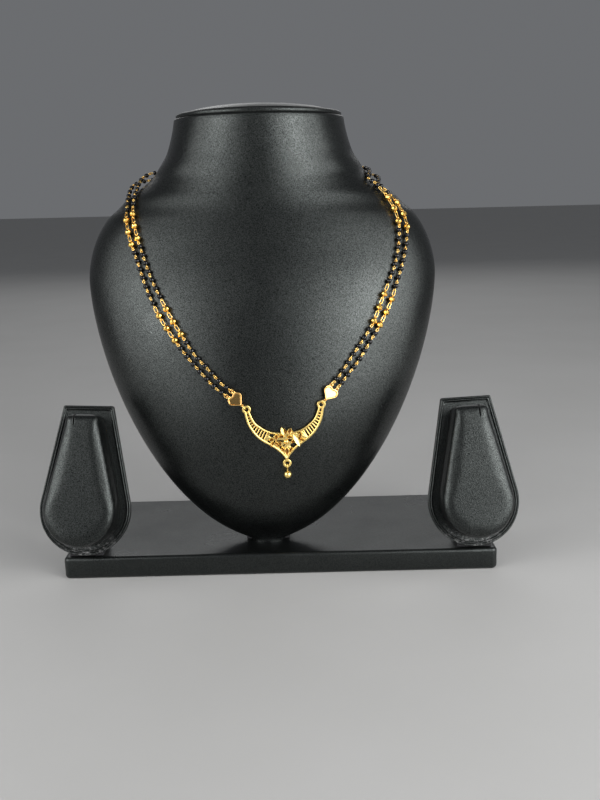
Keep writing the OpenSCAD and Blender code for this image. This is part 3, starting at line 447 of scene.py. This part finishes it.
backing_side = ([(1.6, 0), (0.8, 0), (0.25, 0.2), (0, 0.7), (0, 1.9)] + welt(0.68, 2.82, 0.68, -30, 150)
                + welt(1.78, 2.95, 0.55, 25, 200) + [(2.5, 2.6), (3.1, 2.6)])
pad_wrap = leatherette("pad_leatherette", 0.33, 0.06, rubbed=(0.016, 0.026))
for side, hand in ((-1, "left"), (1, "right")):
    to_pad = on_pad(side)
    skin, faces = loft([[to_pad @ Vector((x, y, h)) for x, y in drop_outline(m, backing_corner)]
                        for m, h in backing_side])
    made = piece("pad_backing_" + hand + "_piped", skin, faces, pad_wrap, "pad_leatherette")
    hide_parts("pad_backing_" + hand)


# Ear pad cushions. Firm foam blocks under the same leatherette, drawn round the sides and glued to the
# backing. The cover bellies a little; a short slit near the top takes an earring's post.
cushion_inset, cushion_back, cushion_thick, edge_round = 4.2, 2.9, 18, 2.6
cushion_corner, glued_rim, swollen_by = 3.0, 0.6, 0.6
slit_length, slit_width, slit_outward, slit_deep, slit_point = 8, 0.9, 4, 7, 1


def swell(skin, faces, held_below, most):
    """Swells a closed cover by cloth simulation, at ten times its size, and gives back its smooth mesh."""
    unit = 100
    scene = bpy.context.scene
    form = bpy.data.objects.new("form", bpy.data.meshes.new("form"))
    form.data.from_pydata([(x / unit, y / unit, z / unit) for x, y, z in skin], [], faces)
    scene.collection.objects.link(form)
    even = form.modifiers.new("even", "REMESH")
    even.mode = "VOXEL"
    even.voxel_size = 1.1 / unit
    graph = bpy.context.evaluated_depsgraph_get()
    cover = bpy.data.objects.new("cover", bpy.data.meshes.new_from_object(form.evaluated_get(graph)))
    scene.collection.objects.link(cover)
    bpy.data.objects.remove(form)
    start = np.array([v.co for v in cover.data.vertices])
    end = start.copy()
    held = cover.vertex_groups.new(name="held")
    held.add([int(i) for i in np.nonzero(start[:, 2] < held_below / unit)[0]], 1.0, "REPLACE")
    cloth = cover.modifiers.new("cover", "CLOTH")
    cloth.settings.use_pressure = True
    cloth.settings.uniform_pressure_force = 1
    cloth.settings.vertex_group_mass = "held"
    cloth.settings.effector_weights.gravity = 0
    cloth.settings.tension_stiffness = 30
    cloth.settings.compression_stiffness = 30
    for tick in range(1, 21):
        scene.frame_set(tick)
    graph = bpy.context.evaluated_depsgraph_get()
    end = np.array([v.co for v in cover.evaluated_get(graph).data.vertices])
    scene.frame_set(1)
    cover.modifiers.clear()
    move = end - start
    length = np.linalg.norm(move, axis=1, keepdims=True)
    move *= np.minimum(1, most / unit / np.maximum(length, 1e-9))
    cover.data.vertices.foreach_set("co", (start + move).ravel())
    ease = cover.modifiers.new("ease", "SMOOTH")
    ease.factor, ease.iterations = 0.5, 14
    fine = cover.modifiers.new("fine", "SUBSURF")
    fine.levels = 1
    graph = bpy.context.evaluated_depsgraph_get()
    mesh = cover.evaluated_get(graph).to_mesh()
    result = ([tuple(v.co * unit) for v in mesh.vertices], [tuple(p.vertices) for p in mesh.polygons])
    bpy.data.objects.remove(cover)
    return result


cushion_face = cushion_back + cushion_thick
cushion_side = ([(cushion_inset + 1.6, cushion_back), (cushion_inset + 1.2, cushion_back + 0.4)]
                + [(cushion_inset + 0.9 + edge_round * (1 - math.cos(a)),
                    cushion_face - 1.0 - edge_round * (1 - math.sin(a)))
                   for a in (math.radians(15 * i) for i in range(7))])
skin, faces = loft([[(x, y, h) for x, y in drop_outline(m, cushion_corner)] for m, h in cushion_side])
soft_skin, soft_faces = swell(skin, faces, cushion_back + glued_rim, swollen_by)
cushion_top, beyond = pad_height - cushion_inset, 2
slit_outline = [(-slit_width / 2, cushion_top - slit_length + slit_point), (0, cushion_top - slit_length),
                (slit_width / 2, cushion_top - slit_length + slit_point),
                (slit_width / 2, cushion_top + beyond), (-slit_width / 2, cushion_top + beyond)]
for side, hand in ((-1, "left"), (1, "right")):
    to_pad = on_pad(side)
    made = piece("pad_cushion_" + hand + "_stuffed", [to_pad @ Vector(p) for p in soft_skin], soft_faces,
                 pad_wrap, "pad_leatherette", crease=70)
    knife = piece("knife", *loft([[to_pad @ Vector((side * slit_outward + x, y, z)) for x, y in slit_outline]
                                  for z in (cushion_face - slit_deep, cushion_face + beyond)]),
                  pad_wrap, "pad_leatherette")
    slit = made.modifiers.new("slit", "BOOLEAN")
    slit.object, slit.operation, slit.solver = knife, "DIFFERENCE", "EXACT"
    graph = bpy.context.evaluated_depsgraph_get()
    cut = bpy.data.meshes.new_from_object(made.evaluated_get(graph))
    made.modifiers.clear()
    made.data = cut
    bpy.data.objects.remove(knife)
    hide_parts("pad_cushion_" + hand)


# Pendant and drop. An openwork plate, pierced and cast in brass: two rails with bars between them, a field
# of leaves and petals, an ear at each end and a ring at the tip, all soldered into one. It is gold plated.
def gold(name, colour, deep, roughness, ripple):
    """Gold plate: bright, rippled by a depth in millimetres, with painted shade: the deep colour painted
    into its recesses.
    """
    material, shader, place = new_material(name, Metallic=1.0)
    fine = noise(material, place, 2600.0, 4.0)
    cloud = noise(material, place, 520.0, 3.0)
    gloss = spread(material, fine, 0.3, 0.7, roughness - 0.04, roughness + 0.08)
    edge = shader_node(material, "NewGeometry").outputs["Pointiness"]
    # Painted shade: hollows found by pointiness take the darker deep colour
    painted_recess_shade = spread(material, edge, 0.34, 0.48)
    join_shader(material, shader, Base_Color=blend_colours(material, painted_recess_shade, deep, colour),
                Roughness=gloss, Normal=bumps(material, cloud, 0.8, ripple))
    return material


plate = gold("gold_plate", (0.95, 0.70, 0.24), (0.40, 0.20, 0.03), 0.27, 0.05)
ear_half_span, pendant_drop, plate_thick = 19.5, 28.2, 0.9
upper_rail_width, lower_rail_width, rail_top, rail_short = 1.15, 1.35, 0.85, 0.5
ear_radius, ear_hole, ear_thick = 2.3, 1.05, 0.9
tip_ring_radius, tip_hole, bar_width, bars = 2.3, 1.0, 0.72, 10
pendant_x, pendant_z, pendant_turn = 11.4, 80.8, 1.6
touch_share, chest_gap, ring_round, tip_overlap = 0.45, 0.3, 0.35, 0.35
bar_low, bar_high, bar_ends = -0.4, 0.42, 0.12
curve_steps, upper_field_start, lower_field_start = 5, 30, 28
hole_long, hole_wide, plate_edge = 1.3, 1.4, 0.12
leaf_foot, tall_leaf_top, ball_radius, ball_place = -0.4, 1.15, 1.35, (0.01, 0.655)

# Shares of ear_half_span and pendant_drop: upper edge, then lower edge, from an ear down to the field.
# The field starts at the rails' points that upper_field_start and lower_field_start count.
wing = [(0.925, 0.03, 1.075, 0.03), (0.9, 0.08, 1.06, 0.1), (0.845, 0.18, 1.02, 0.235),
        (0.775, 0.265, 0.955, 0.35), (0.677, 0.325, 0.84, 0.48), (0.554, 0.388, 0.715, 0.575),
        (0.42, 0.434, 0.575, 0.65)]
upper_end = [(0.28, 0.462), (0.14, 0.472), (0, 0.475)]
lower_end = [(0.46, 0.7), (0.34, 0.758), (0.215, 0.83), (0.115, 0.905), (0.042, 0.98)]
# Holes and hollow leaves of the field: place, half length, half width, turn in degrees
field_holes = [(-0.362, 0.512, 0.058, 0.042, 8), (-0.156, 0.632, 0.1, 0.02, -4),
               (-0.462, 0.63, 0.042, 0.02, -40), (-0.16, 0.749, 0.05, 0.022, 100),
               (0.096, 0.629, 0.06, 0.024, 2), (0.2, 0.726, 0.075, 0.05, 12),
               (-0.31, 0.635, 0.035, 0.016, 60), (0.045, 0.53, 0.04, 0.018, 80),
               (0.345, 0.5, 0.05, 0.016, -5), (0.36, 0.6, 0.03, 0.02, 70), (-0.06, 0.72, 0.03, 0.014, 40)]
leaves = [(-0.255, 0.556, 0.085, 0.046, 85), (-0.12, 0.548, 0.08, 0.04, 3), (-0.386, 0.592, 0.07, 0.032, 6),
          (-0.374, 0.683, 0.085, 0.04, 55), (-0.242, 0.69, 0.09, 0.042, 124),
          (-0.162, 0.68, 0.078, 0.03, 84), (-0.01, 0.455, 0.085, 0.036, 98), (0.113, 0.455, 0.09, 0.064, 60),
          (0.102, 0.565, 0.078, 0.036, 2), (0.2, 0.651, 0.078, 0.034, 22), (0.395, 0.552, 0.082, 0.042, 78),
          (0.427, 0.63, 0.085, 0.032, -8), (0.008, 0.837, 0.125, 0.07, 88),
          (-0.093, 0.794, 0.09, 0.038, 121), (0.118, 0.805, 0.095, 0.04, 56)]
# The two tall polished leaves have the slope of their upper face as well
tall_leaves = [(-0.082, 0.448, 0.11, 0.042, 102, 0.36), (0.28, 0.641, 0.185, 0.047, -64, -0.36)]
# A hollow leaf's rim and the dish inside it, browned with painted shade: shares of its length and width, and
# a height
leaf_rim = [(1, 1, leaf_foot), (1, 1, 0.9), (0.97, 0.95, 1.15), (0.9, 0.85, 1.25), (0.82, 0.7, 1.15),
            (0.8, 0.66, 0.4)]
leaf_dish = [(0.8, 0.7, -0.3), (0.83, 0.73, 1.12), (0.74, 0.5, 0.86), (0.66, 0.15, 0.7)]


def on_chest(x, z, lift):
    """A point of the bust's front, raised off it."""
    return Vector((x, front_y(x, z), z)) + outward(x, z) * lift


def plate_place(origin, out, turn):
    """A flat piece's own place: X and Y in its plane, turned by an angle, and Z out of it."""
    out = Vector(out).normalized()
    right = Vector((-out.y, out.x, 0)).normalized()
    across = right * math.cos(math.radians(turn)) + out.cross(right) * math.sin(math.radians(turn))
    return Matrix.Translation(origin) @ Matrix((across, out.cross(across), out)).transposed().to_4x4()


def in_mm(u, v):
    """A place of the plate in millimetres, from its shares."""
    return u * ear_half_span, -v * pendant_drop


def curve_through(points, steps):
    """A smooth curve through points of the plane or of space."""
    rows = [Vector(p) for p in points]
    rows = [rows[0]] + rows + [rows[-1]]
    line = []
    for a, b, c, d in zip(rows, rows[1:], rows[2:], rows[3:]):
        bend, sway = 2 * a - 5 * b + 4 * c - d, 3 * b - a - 3 * c + d
        line += [0.5 * (2 * b + (c - a) * u + bend * u ** 2 + sway * u ** 3)
                 for u in (i / steps for i in range(steps))]
    return line + [rows[-1]]


def beside(line, distance):
    """The same line moved sideways, to its right."""
    moved = []
    for i, p in enumerate(line):
        t = (line[min(i + 1, len(line) - 1)] - line[max(i - 1, 0)]).normalized()
        moved.append(p + distance * Vector((t.y, -t.x)))
    return moved


def rail(line, width, low, high):
    """A round-topped bar along a line of the plate's plane."""
    ease = min(width / 2, high - low)
    section = [(-1, low), (1, low)] + [(math.cos(a), high - ease * (1 - math.sin(a)))
                                       for a in (math.radians(22.5 * k) for k in range(9))]
    loops = []
    for p, q in zip(line, beside(line, width / 2)):
        loops.append([(p.x + (q.x - p.x) * w, p.y + (q.y - p.y) * w, h) for w, h in section])
    return loft(loops)


def revolve(outline, steps):
    """A closed ring-shaped skin from an outline of radii and heights."""
    n = len(outline)
    skin = [(r * math.cos(a), r * math.sin(a), z) for a in (2 * math.pi * i / steps for i in range(steps))
            for r, z in outline]
    faces = [(i * n + j, ((i + 1) % steps) * n + j, ((i + 1) % steps) * n + (j + 1) % n, i * n + (j + 1) % n)
             for i in range(steps) for j in range(n)]
    return skin, faces


def eye(hole, radius, thick, ease):
    """A flat ring with rounded edges."""
    corners = [(radius - ease, thick / 2 - ease, 0), (hole + ease, thick / 2 - ease, 90),
               (hole + ease, ease - thick / 2, 180), (radius - ease, ease - thick / 2, 270)]
    rounded = [(r, z, math.radians(a + 30 * k)) for r, z, a in corners for k in range(4)]
    return revolve([(r + ease * math.cos(a), z + ease * math.sin(a)) for r, z, a in rounded], 40)


def leaf_loop(half_length, half_width, along, across, height, count=12):
    """A pointed oval at a height, with shares of its length and width."""
    r = (half_length ** 2 + half_width ** 2) / (2 * half_width)
    xs = [half_length * math.cos(math.pi * i / count) for i in range(count)]
    ys = [math.sqrt(max(0, r * r - x * x)) - (r - half_width) for x in xs]
    return ([(x * along, y * across, height) for x, y in zip(xs, ys)]
            + [(-x * along, -y * across, height) for x, y in zip(xs, ys)])


def leaf_place(u, v, turn):
    """A leaf's own place on the plate, with X along it."""
    return Matrix.Translation((*in_mm(u, v), 0)) @ Matrix.Rotation(math.radians(turn), 4, "Z")


def pierced_plate(outline, holes, thick, edge):
    """A flat plate with holes, its edges eased."""
    drawing = bpy.data.curves.new("drawing", "CURVE")
    drawing.dimensions, drawing.fill_mode = "2D", "BOTH"
    drawing.extrude, drawing.offset = thick / 2 - edge, -edge
    drawing.bevel_depth, drawing.bevel_resolution = edge, 1
    for line in (outline, *holes):
        spline = drawing.splines.new("POLY")
        spline.points.add(len(line) - 1)
        for knot, p in zip(spline.points, line):
            knot.co = (p[0], p[1], 0, 1)
        spline.use_cyclic_u = True
    holder = bpy.data.objects.new("drawing", drawing)
    bpy.context.scene.collection.objects.link(holder)
    mesh = bpy.data.meshes.new_from_object(holder.evaluated_get(bpy.context.evaluated_depsgraph_get()))
    weld = bmesh.new()
    weld.from_mesh(mesh)
    bmesh.ops.remove_doubles(weld, verts=weld.verts, dist=0.001)
    weld.to_mesh(mesh)
    weld.free()
    bpy.data.objects.remove(holder)
    return [tuple(v.co) for v in mesh.vertices], [tuple(f.vertices) for f in mesh.polygons]


def placed(parts):
    """One mesh from several, each given as a skin, its faces and a place."""
    skin, faces = [], []
    for part_skin, part_faces, place in parts:
        faces += [tuple(len(skin) + i for i in f) for f in part_faces]
        skin += [place @ Vector(p) for p in part_skin]
    return skin, faces


touch_y = pendant_drop * touch_share
touch_z = board_height + pendant_z - touch_y
pendant_place = plate_place(on_chest(pendant_x, touch_z, plate_thick / 2 + chest_gap),
                            outward(pendant_x, touch_z), pendant_turn)
on_bust = Matrix.Translation((bust_x, bust_y, 0))
ear_line = on_bust @ pendant_place @ Matrix.Translation((0, touch_y, 0))

upper_edge = curve_through([in_mm(w[0], w[1]) for w in wing] + [in_mm(*p) for p in upper_end], curve_steps)
lower_edge = curve_through([in_mm(w[2], w[3]) for w in wing] + [in_mm(*p) for p in lower_end], curve_steps)
upper_rail = beside(upper_edge, -upper_rail_width / 2)
lower_rail = beside(lower_edge, lower_rail_width / 2) + [Vector((0, -pendant_drop + rail_short))]
parts = [(*rail(upper_rail + [Vector((-p.x, p.y)) for p in upper_rail[-2::-1]], upper_rail_width,
                -plate_thick / 2, rail_top), ear_line)]
middle = [Vector(in_mm((w[0] + w[2]) / 2, (w[1] + w[3]) / 2)) for w in wing]
wing_run = np.concatenate([[0], np.cumsum([(b - a).length for a, b in zip(middle, middle[1:])])])
for flip in (Matrix.Identity(4), Matrix.Scale(-1, 4, (1, 0, 0))):
    parts.append((*rail(lower_rail, lower_rail_width, -plate_thick / 2, rail_top), ear_line @ flip))
    for i in range(bars):
        s = ear_radius + (wing_run[-1] - ear_radius) * (i + 0.5) / bars
        a, b = (Vector(in_mm(*[float(np.interp(s, wing_run, [w[c] for w in wing])) for c in (k, k + 1)]))
                for k in (0, 2))
        parts.append((*rail([a.lerp(b, bar_ends), b.lerp(a, bar_ends)], bar_width, bar_low, bar_high),
                      ear_line @ flip))
    parts.append((*eye(ear_hole, ear_radius, ear_thick, ring_round),
                  ear_line @ flip @ Matrix.Translation((ear_half_span, 0, 0))))
parts.append((*eye(tip_hole, tip_ring_radius, ear_thick, ring_round),
              ear_line @ Matrix.Translation((0, -pendant_drop - tip_ring_radius + tip_overlap, 0))))
inner_upper = upper_rail[upper_field_start:]
inner_lower = lower_rail[lower_field_start:]
field = ([(p.x, p.y) for p in inner_upper] + [(-p.x, p.y) for p in inner_upper[-2::-1]]
         + [(-p.x, p.y) for p in inner_lower] + [(p.x, p.y) for p in inner_lower[-2::-1]])
cuts = [[(leaf_place(u, v, turn) @ Vector(p))[:2] for p in
         leaf_loop(l * ear_half_span, w * ear_half_span, hole_long, hole_wide, 0)]
        for u, v, l, w, turn in field_holes]
parts.append((*pierced_plate(field, cuts, plate_thick, plate_edge), ear_line))
hollows = []
for u, v, l, w, turn in leaves:
    for rows, made in ((leaf_rim, parts), (leaf_dish, hollows)):
        made.append((*loft([leaf_loop(l * ear_half_span, w * ear_half_span, long, wide, h)
                            for long, wide, h in rows]), ear_line @ leaf_place(u, v, turn)))
for u, v, l, w, turn, slope in tall_leaves:
    skin, faces = loft([leaf_loop(l * ear_half_span, w * ear_half_span, 1, 1, h)
                        for h in (leaf_foot, tall_leaf_top)])
    skin = [(x, y, z + slope * y if z > 0 else z) for x, y, z in skin]
    parts.append((skin, faces, ear_line @ leaf_place(u, v, turn)))
ball = [[(ball_radius * math.cos(a) * math.cos(b), ball_radius * math.cos(a) * math.sin(b),
          ball_radius * math.sin(a)) for b in (2 * math.pi * i / 24 for i in range(24))]
        for a in (math.radians(d) for d in range(-18, 89, 9))]
parts.append((*loft(ball), ear_line @ Matrix.Translation((*in_mm(*ball_place), 0))))
pendant = piece("pendant_cast", *placed(parts), plate, "gold_plate", crease=50)
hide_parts("pendant")
# Painted shade: the leaf dishes get a dark brown gold that stands for the shade in the hollows
painted_recess_shade = gold("gold_painted_shade", (0.24, 0.10, 0.02), (0.10, 0.04, 0.01), 0.34, 0.05)
piece("pendant_hollows", *placed(hollows), painted_recess_shade, "gold_plate", crease=50)
dress(plate, "pendant_drop", "jump_ring_left", "jump_ring_right")


# Hearts. Two small hearts stamped from brass, with a rounded rim round a mirror-bright field, and three eyes
# each: one on the pendant's ring and two for the strands. They are gold plated and polished.
heart_gold = gold("heart_gold", (1.0, 0.62, 0.22), (0.42, 0.18, 0.03), 0.08, 0.004)
heart_side, heart_turns = 4.8, (-44, 232)
lobe_at = heart_side / math.sqrt(8)
point_eye_radius, point_eye_hole, lobe_eye_radius, lobe_eye_hole = 0.75, 0.47, 1.0, 0.6
heart_eye_thick, point_eye_round, lobe_eye_round = 0.55, 0.13, 0.18
ring_cross, eye_overlap, lobe_eye_apart = 0.47, 0.1, 0.15
jump_ring_radius, heart_lift = 1.4, 2.8


def heart_loop(inset, height):
    """A heart with its point along X, drawn inward."""
    s, r = heart_side - 2 * inset, heart_side / 2 - inset
    arc = [math.radians(45 + 180 * i / 20) for i in range(21)]
    lobe = [(-lobe_at + r * math.cos(a), max(lobe_at + r * math.sin(a), 0)) for a in arc]
    side = [(s / math.sqrt(2) * (1 - i / 8), s / math.sqrt(2) * i / 8) for i in range(8)]
    half = side + lobe
    return [(x, y, height) for x, y in half] + [(x, -y, height) for x, y in half[-2:0:-1]]


# Insets and heights from the back over the rounded rim to the sunk field
heart_side_view = [(0.5, -0.55), (0.25, -0.55), (0.07, -0.48), (0, -0.3), (0, 0.3), (0.07, 0.47),
                   (0.25, 0.55), (0.5, 0.55), (0.66, 0.47), (0.75, 0.3), (0.8, 0.22), (0.9, 0.2), (1.1, 0.2)]
heart_point = heart_side / math.sqrt(2) - eye_overlap
lobe_eye_x = -lobe_at - heart_side / 2 - lobe_eye_hole + eye_overlap
for side, hand, turn in zip((-1, 1), ("left", "right"), heart_turns):
    a, b = math.radians(turn + 180 - pendant_turn), math.radians(turn)
    cross = pendant_place @ Vector((side * ear_half_span + ring_cross * math.cos(a),
                                    touch_y + ring_cross * math.sin(a), 0))
    reach = 2 * jump_ring_radius
    over = on_chest(cross.x - reach * math.cos(b), cross.z - reach * math.sin(b), heart_lift)
    point = cross + reach * (over - cross).normalized()
    home = (on_bust @ plate_place(point, outward(point.x, point.z), turn)
            @ Matrix.Translation((-heart_point, 0, 0)))
    parts = [(*loft([heart_loop(m, h) for m, h in heart_side_view]), home),
             (*eye(point_eye_hole, point_eye_radius, heart_eye_thick, point_eye_round),
              home @ Matrix.Translation((heart_point, 0, 0)))]
    parts += [(*eye(lobe_eye_hole, lobe_eye_radius, heart_eye_thick, lobe_eye_round),
               home @ Matrix.Translation((lobe_eye_x, way * (lobe_at + lobe_eye_apart), 0)))
              for way in (-1, 1)]
    made = piece("heart_" + hand + "_stamped", *placed(parts), heart_gold, "heart_gold", crease=40)
    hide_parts("heart_" + hand)


# Black beads. Sixteen drilled glass beads a strand, drawn and reheated until round, with small flats at the
# holes. Each sits on the wire of its own pin.
bead_radius, bead_length, bead_hole, bead_apart = 1.4, 2.1, 0.26, 2.9
flat_radius = math.sqrt(bead_radius ** 2 - (bead_length / 2) ** 2)
side_of_bead = [(bead_radius * math.cos(a), bead_radius * math.sin(a))
                for a in (math.radians(-43 + 86 * i / 14) for i in range(15))]
end_of_bead = [(bead_hole, 0.8), (bead_hole + 0.04, 0.97), (bead_hole + 0.16, 1.05),
               (flat_radius - 0.2, 1.045)]
bead_outline = [(r, -z) for r, z in end_of_bead] + side_of_bead + end_of_bead[::-1]
bead_skin, bead_faces = revolve(bead_outline, 32)


def glass(name):
    """Black glass: deep gloss with fire-polished ripples and a trace of dust."""
    material, shader, place = new_material(name, IOR=1.52, Specular_IOR_Level=0.4)
    wave = noise(material, place, 600.0, 2.0)
    dust = noise(material, place, 3000.0, 3.0)
    join_shader(material, shader, Roughness=spread(material, dust, 0.45, 0.75, 0.03, 0.10),
                Normal=bumps(material, wave, 0.4, 0.02),
                Base_Color=blend_colours(material, dust, (0.001, 0.001, 0.001), (0.004, 0.004, 0.005)))
    return material


def along(middle, axis, out=(0, -1, 0)):
    """A place with Z along an axis and X close to another direction."""
    z = Vector(axis).normalized()
    y = z.cross(Vector(out)).normalized()
    return Matrix.Translation(middle) @ Matrix((y.cross(z), y, z)).transposed().to_4x4()


def solids_of(name, reach):
    """The middle and axis, in millimetres, of each round solid in a CAD node, by points within a reach."""
    rest = np.array([v.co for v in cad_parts[name].data.vertices]) * 1000
    found = []
    while len(rest):
        near = np.linalg.norm(rest - rest[0], axis=1) < reach
        one, rest = rest[near], rest[~near]
        middle = (one.min(0) + one.max(0)) / 2
        size, axes = np.linalg.eigh(np.cov((one - middle).T))
        found.append((middle, axes[:, 0] if size[1] - size[0] > size[2] - size[1] else axes[:, 2]))
    return found


strands = ("left_outer", "left_inner", "right_inner", "right_outer")
black_glass = glass("black_glass")
for strand in strands:
    parts = [(bead_skin, bead_faces, along(m, a)) for m, a in solids_of("beads_" + strand, bead_apart)]
    made = piece("glass_beads_" + strand, *placed(parts), black_glass, "black_glass", crease=60)
    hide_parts("beads_" + strand)


# Wires, links and cut beads. The bead pins, oval links and small rings are bent from gold-plated brass wire:
# each pin has a long eye at both ends, looped through the next. The gold beads are cast and cut with facets.
wire_gold = gold("wire_gold", (1.0, 0.68, 0.22), (0.42, 0.18, 0.03), 0.22, 0.02)
bead_gold = gold("cut_bead_gold", (1.0, 0.62, 0.15), (0.45, 0.20, 0.03), 0.20, 0.03)
pin_radius, eye_wire, link_wire, loop_reach = 0.16, 0.25, 0.28, 0.365
pitch_low, pitch_high, low_beads, link_pitch, link_width = 5.3, 5.1, 7, 2.9, 1.5
gold_pitch, gold_reach, gold_count, small_ring_radius = 4.965, 9, 6, 1.15
pin_eye_radius, pin_eye_gap, pin_end, quarter = 0.6, 0.32, 0.1, Matrix.Rotation(math.radians(90), 4, "Z")


def oval(radius, straight, wire, steps=24, sides=10):
    """A closed wire loop in the plane of X and Z, with straight sides along Z."""
    skin, faces = revolve([(radius + wire * math.cos(a), wire * math.sin(a))
                           for a in (2 * math.pi * i / sides for i in range(sides))], steps)
    return [(x, -z, y + (straight / 2 if y > 0 else -straight / 2)) for x, y, z in skin], faces


def pin(pitch, first_turn, last_turn, home):
    """A bead's pin: a stem and a long eye at each end, turned about the strand."""
    far, near = pitch / 2 + loop_reach, bead_length / 2 + pin_eye_gap
    end = near + pin_end
    made = [(*revolve([(pin_radius, -end), (pin_radius, end), (0.02, end), (0.02, -end)], 12), home)]
    for way, turn in ((-1, first_turn), (1, last_turn)):
        made.append((*oval(pin_eye_radius, far - near - 2 * pin_eye_radius, eye_wire),
                     home @ Matrix.Rotation(math.radians(turn), 4, "Z")
                     @ Matrix.Translation((0, 0, way * (far + near) / 2))))
    return made


def upward(found):
    """Places on the chest in order up the strand, with Z up it and X out of the chest."""
    rows = [(m, a if a[2] > 0 else -a) for m, a in sorted(found, key=lambda row: row[0][2])]
    return [along(m, a, outward(m[0] - bust_x, m[2])) for m, a in rows]


for strand in strands:
    gold_names = ["gold_" + strand + "_" + str(i + 1) for i in range(gold_count)]
    bead_homes = upward(solids_of("beads_" + strand, bead_apart))
    gold_homes = upward([solids_of(name, gold_reach)[0] for name in gold_names])
    chain = sorted([(h, pitch_low if i < low_beads else pitch_high) for i, h in enumerate(bead_homes)]
                   + [(h, gold_pitch) for h in gold_homes], key=lambda row: row[0].translation.z)
    joints = [(h @ Vector((0, 0, -p / 2)), h @ Vector((0, 0, p / 2))) for h, p in chain]
    parts = []
    turn = 45
    for i, (home, pitch) in enumerate(chain):
        to_gold = i + 1 < len(chain) and chain[i + 1][1] == gold_pitch
        if pitch == gold_pitch:
            low, high = joints[i][1], joints[i + 1][0]
            place = along((low + high) / 2, high - low, home.to_3x3() @ Vector((1, 0, 0)))
            parts.append((*oval(link_width / 2, link_pitch + 2 * loop_reach - link_width, link_wire),
                          place @ quarter))
            turn = 0
        else:
            last = 90 if to_gold else (turn if turn in (45, 135) else 45)
            parts += pin(pitch, turn, last, home)
            turn = 180 - last if last != 90 else 0
    first_axes = chain[0][0].to_3x3()
    ahead = first_axes @ Vector((0, 0, 1))
    middle = joints[0][0] - ahead.normalized() * (small_ring_radius - loop_reach)
    parts.append((*oval(small_ring_radius, 0, eye_wire),
                  along(middle, ahead, first_axes @ Vector((1, 0, 0)))
                  @ Matrix.Rotation(math.radians(135), 4, "Z")))
    made = piece("wires_" + strand, *placed(parts), wire_gold, "gold_plate", crease=60)
    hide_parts("links_" + strand)
    dress(bead_gold, *gold_names)


# Strands behind the bust. The same black beads on pins with an eye at each end, over the shoulders and
# round the back of the neck to the two end rings. A route's points go across, out from the back, and up.
back_routes = [
    [(-73.2, -7, 203.2), (-72.8, -2.5, 206), (-71, 0.6, 208.2), (-67, 1.8, 209.4), (-61, 1.9, 210.2),
     (-50, 1.9, 211), (-38, 1.9, 211.3), (-25, 1.9, 211.2)],
    [(-68.2, -7.5, 206.8), (-67.7, -3, 209.8), (-65.6, 0.4, 212.4), (-62, 1.8, 213.8), (-56.5, 1.9, 214.4),
     (-47, 1.9, 214.7), (-35, 1.9, 214.6), (-23, 1.9, 214.1)],
    [(60.6, -13, 210.8), (61.5, -7.3, 212.2), (61.3, -1.8, 213.4), (59.6, 1.4, 214.1), (56, 1.9, 214.4),
     (47, 1.9, 214.4), (34, 1.9, 214.1), (22, 1.9, 213.7)],
    [(66.3, -10, 207.3), (66.6, -4, 208.6), (65.3, 0.8, 209.7), (62, 1.9, 210.4), (55, 1.9, 211),
     (46, 1.9, 211.2), (35, 1.9, 211.1), (24, 1.9, 211)]]
strand_tops = [(-73.0, 6.84, 198.6), (-68.8, 6.73, 202.2), (59.8, 6.03, 208.0), (65.2, 7.77, 205.2)]
clasp_z, clasp_behind, end_ring_x = 212.4, 2.0, 7.9
back_pitch, back_bead, end_apart, end_outward, route_steps = 5.1, 0.93, 1.4, 2.2, 12

for strand, route, top in zip(strands, back_routes, strand_tops):
    side = -1 if "left" in strand else 1
    level = 1 if "inner" in strand else -1
    end_z = clasp_z + level * end_apart
    end = (side * (end_ring_x + end_outward), back_y(end_z) + clasp_behind, end_z)
    line = curve_through([top] + [(x, back_y(z) + behind, z) for x, behind, z in route] + [end], route_steps)
    run = np.concatenate([[0], np.cumsum([(b - a).length for a, b in zip(line, line[1:])])])
    count = 2 * round((run[-1] / back_pitch - 1) / 2) + 1
    marks = np.linspace(0, run[-1], count + 1)
    joints = [Vector([float(np.interp(s, run, [p[i] for p in line])) for i in range(3)]) for s in marks]
    parts, wires = [], []
    out = outward(top[0], top[2])
    for i, (a, b) in enumerate(zip(joints, joints[1:])):
        ahead = (b - a).normalized()
        out = (out - ahead * out.dot(ahead)).normalized()
        if i > count // 3:
            out = Vector((0, 1, -bust_lean)).normalized()
        home = on_bust @ along((a + b) / 2, ahead, out)
        turn = 45 + 90 * (i % 2)
        parts.append((bead_skin, bead_faces, home @ Matrix.Scale(back_bead, 4)))
        wires += pin((b - a).length, turn, turn, home)
    made = piece("glass_beads_behind_" + strand, *placed(parts), black_glass, "black_glass", crease=60)
    piece("wires_behind_" + strand, *placed(wires), wire_gold, "gold_plate", crease=60)
    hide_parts("back_strand_" + strand)


# Clasp. A plain barrel clasp with an eye at each end, turned from brass. It lies flat behind the neck and
# joins the two end rings, which are bent from wire. All three are gold plated.
clasp_gold = gold("clasp_gold", (1.0, 0.60, 0.17), (0.35, 0.15, 0.03), 0.24, 0.02)
dress(clasp_gold, "clasp", "end_ring_left", "end_ring_right")
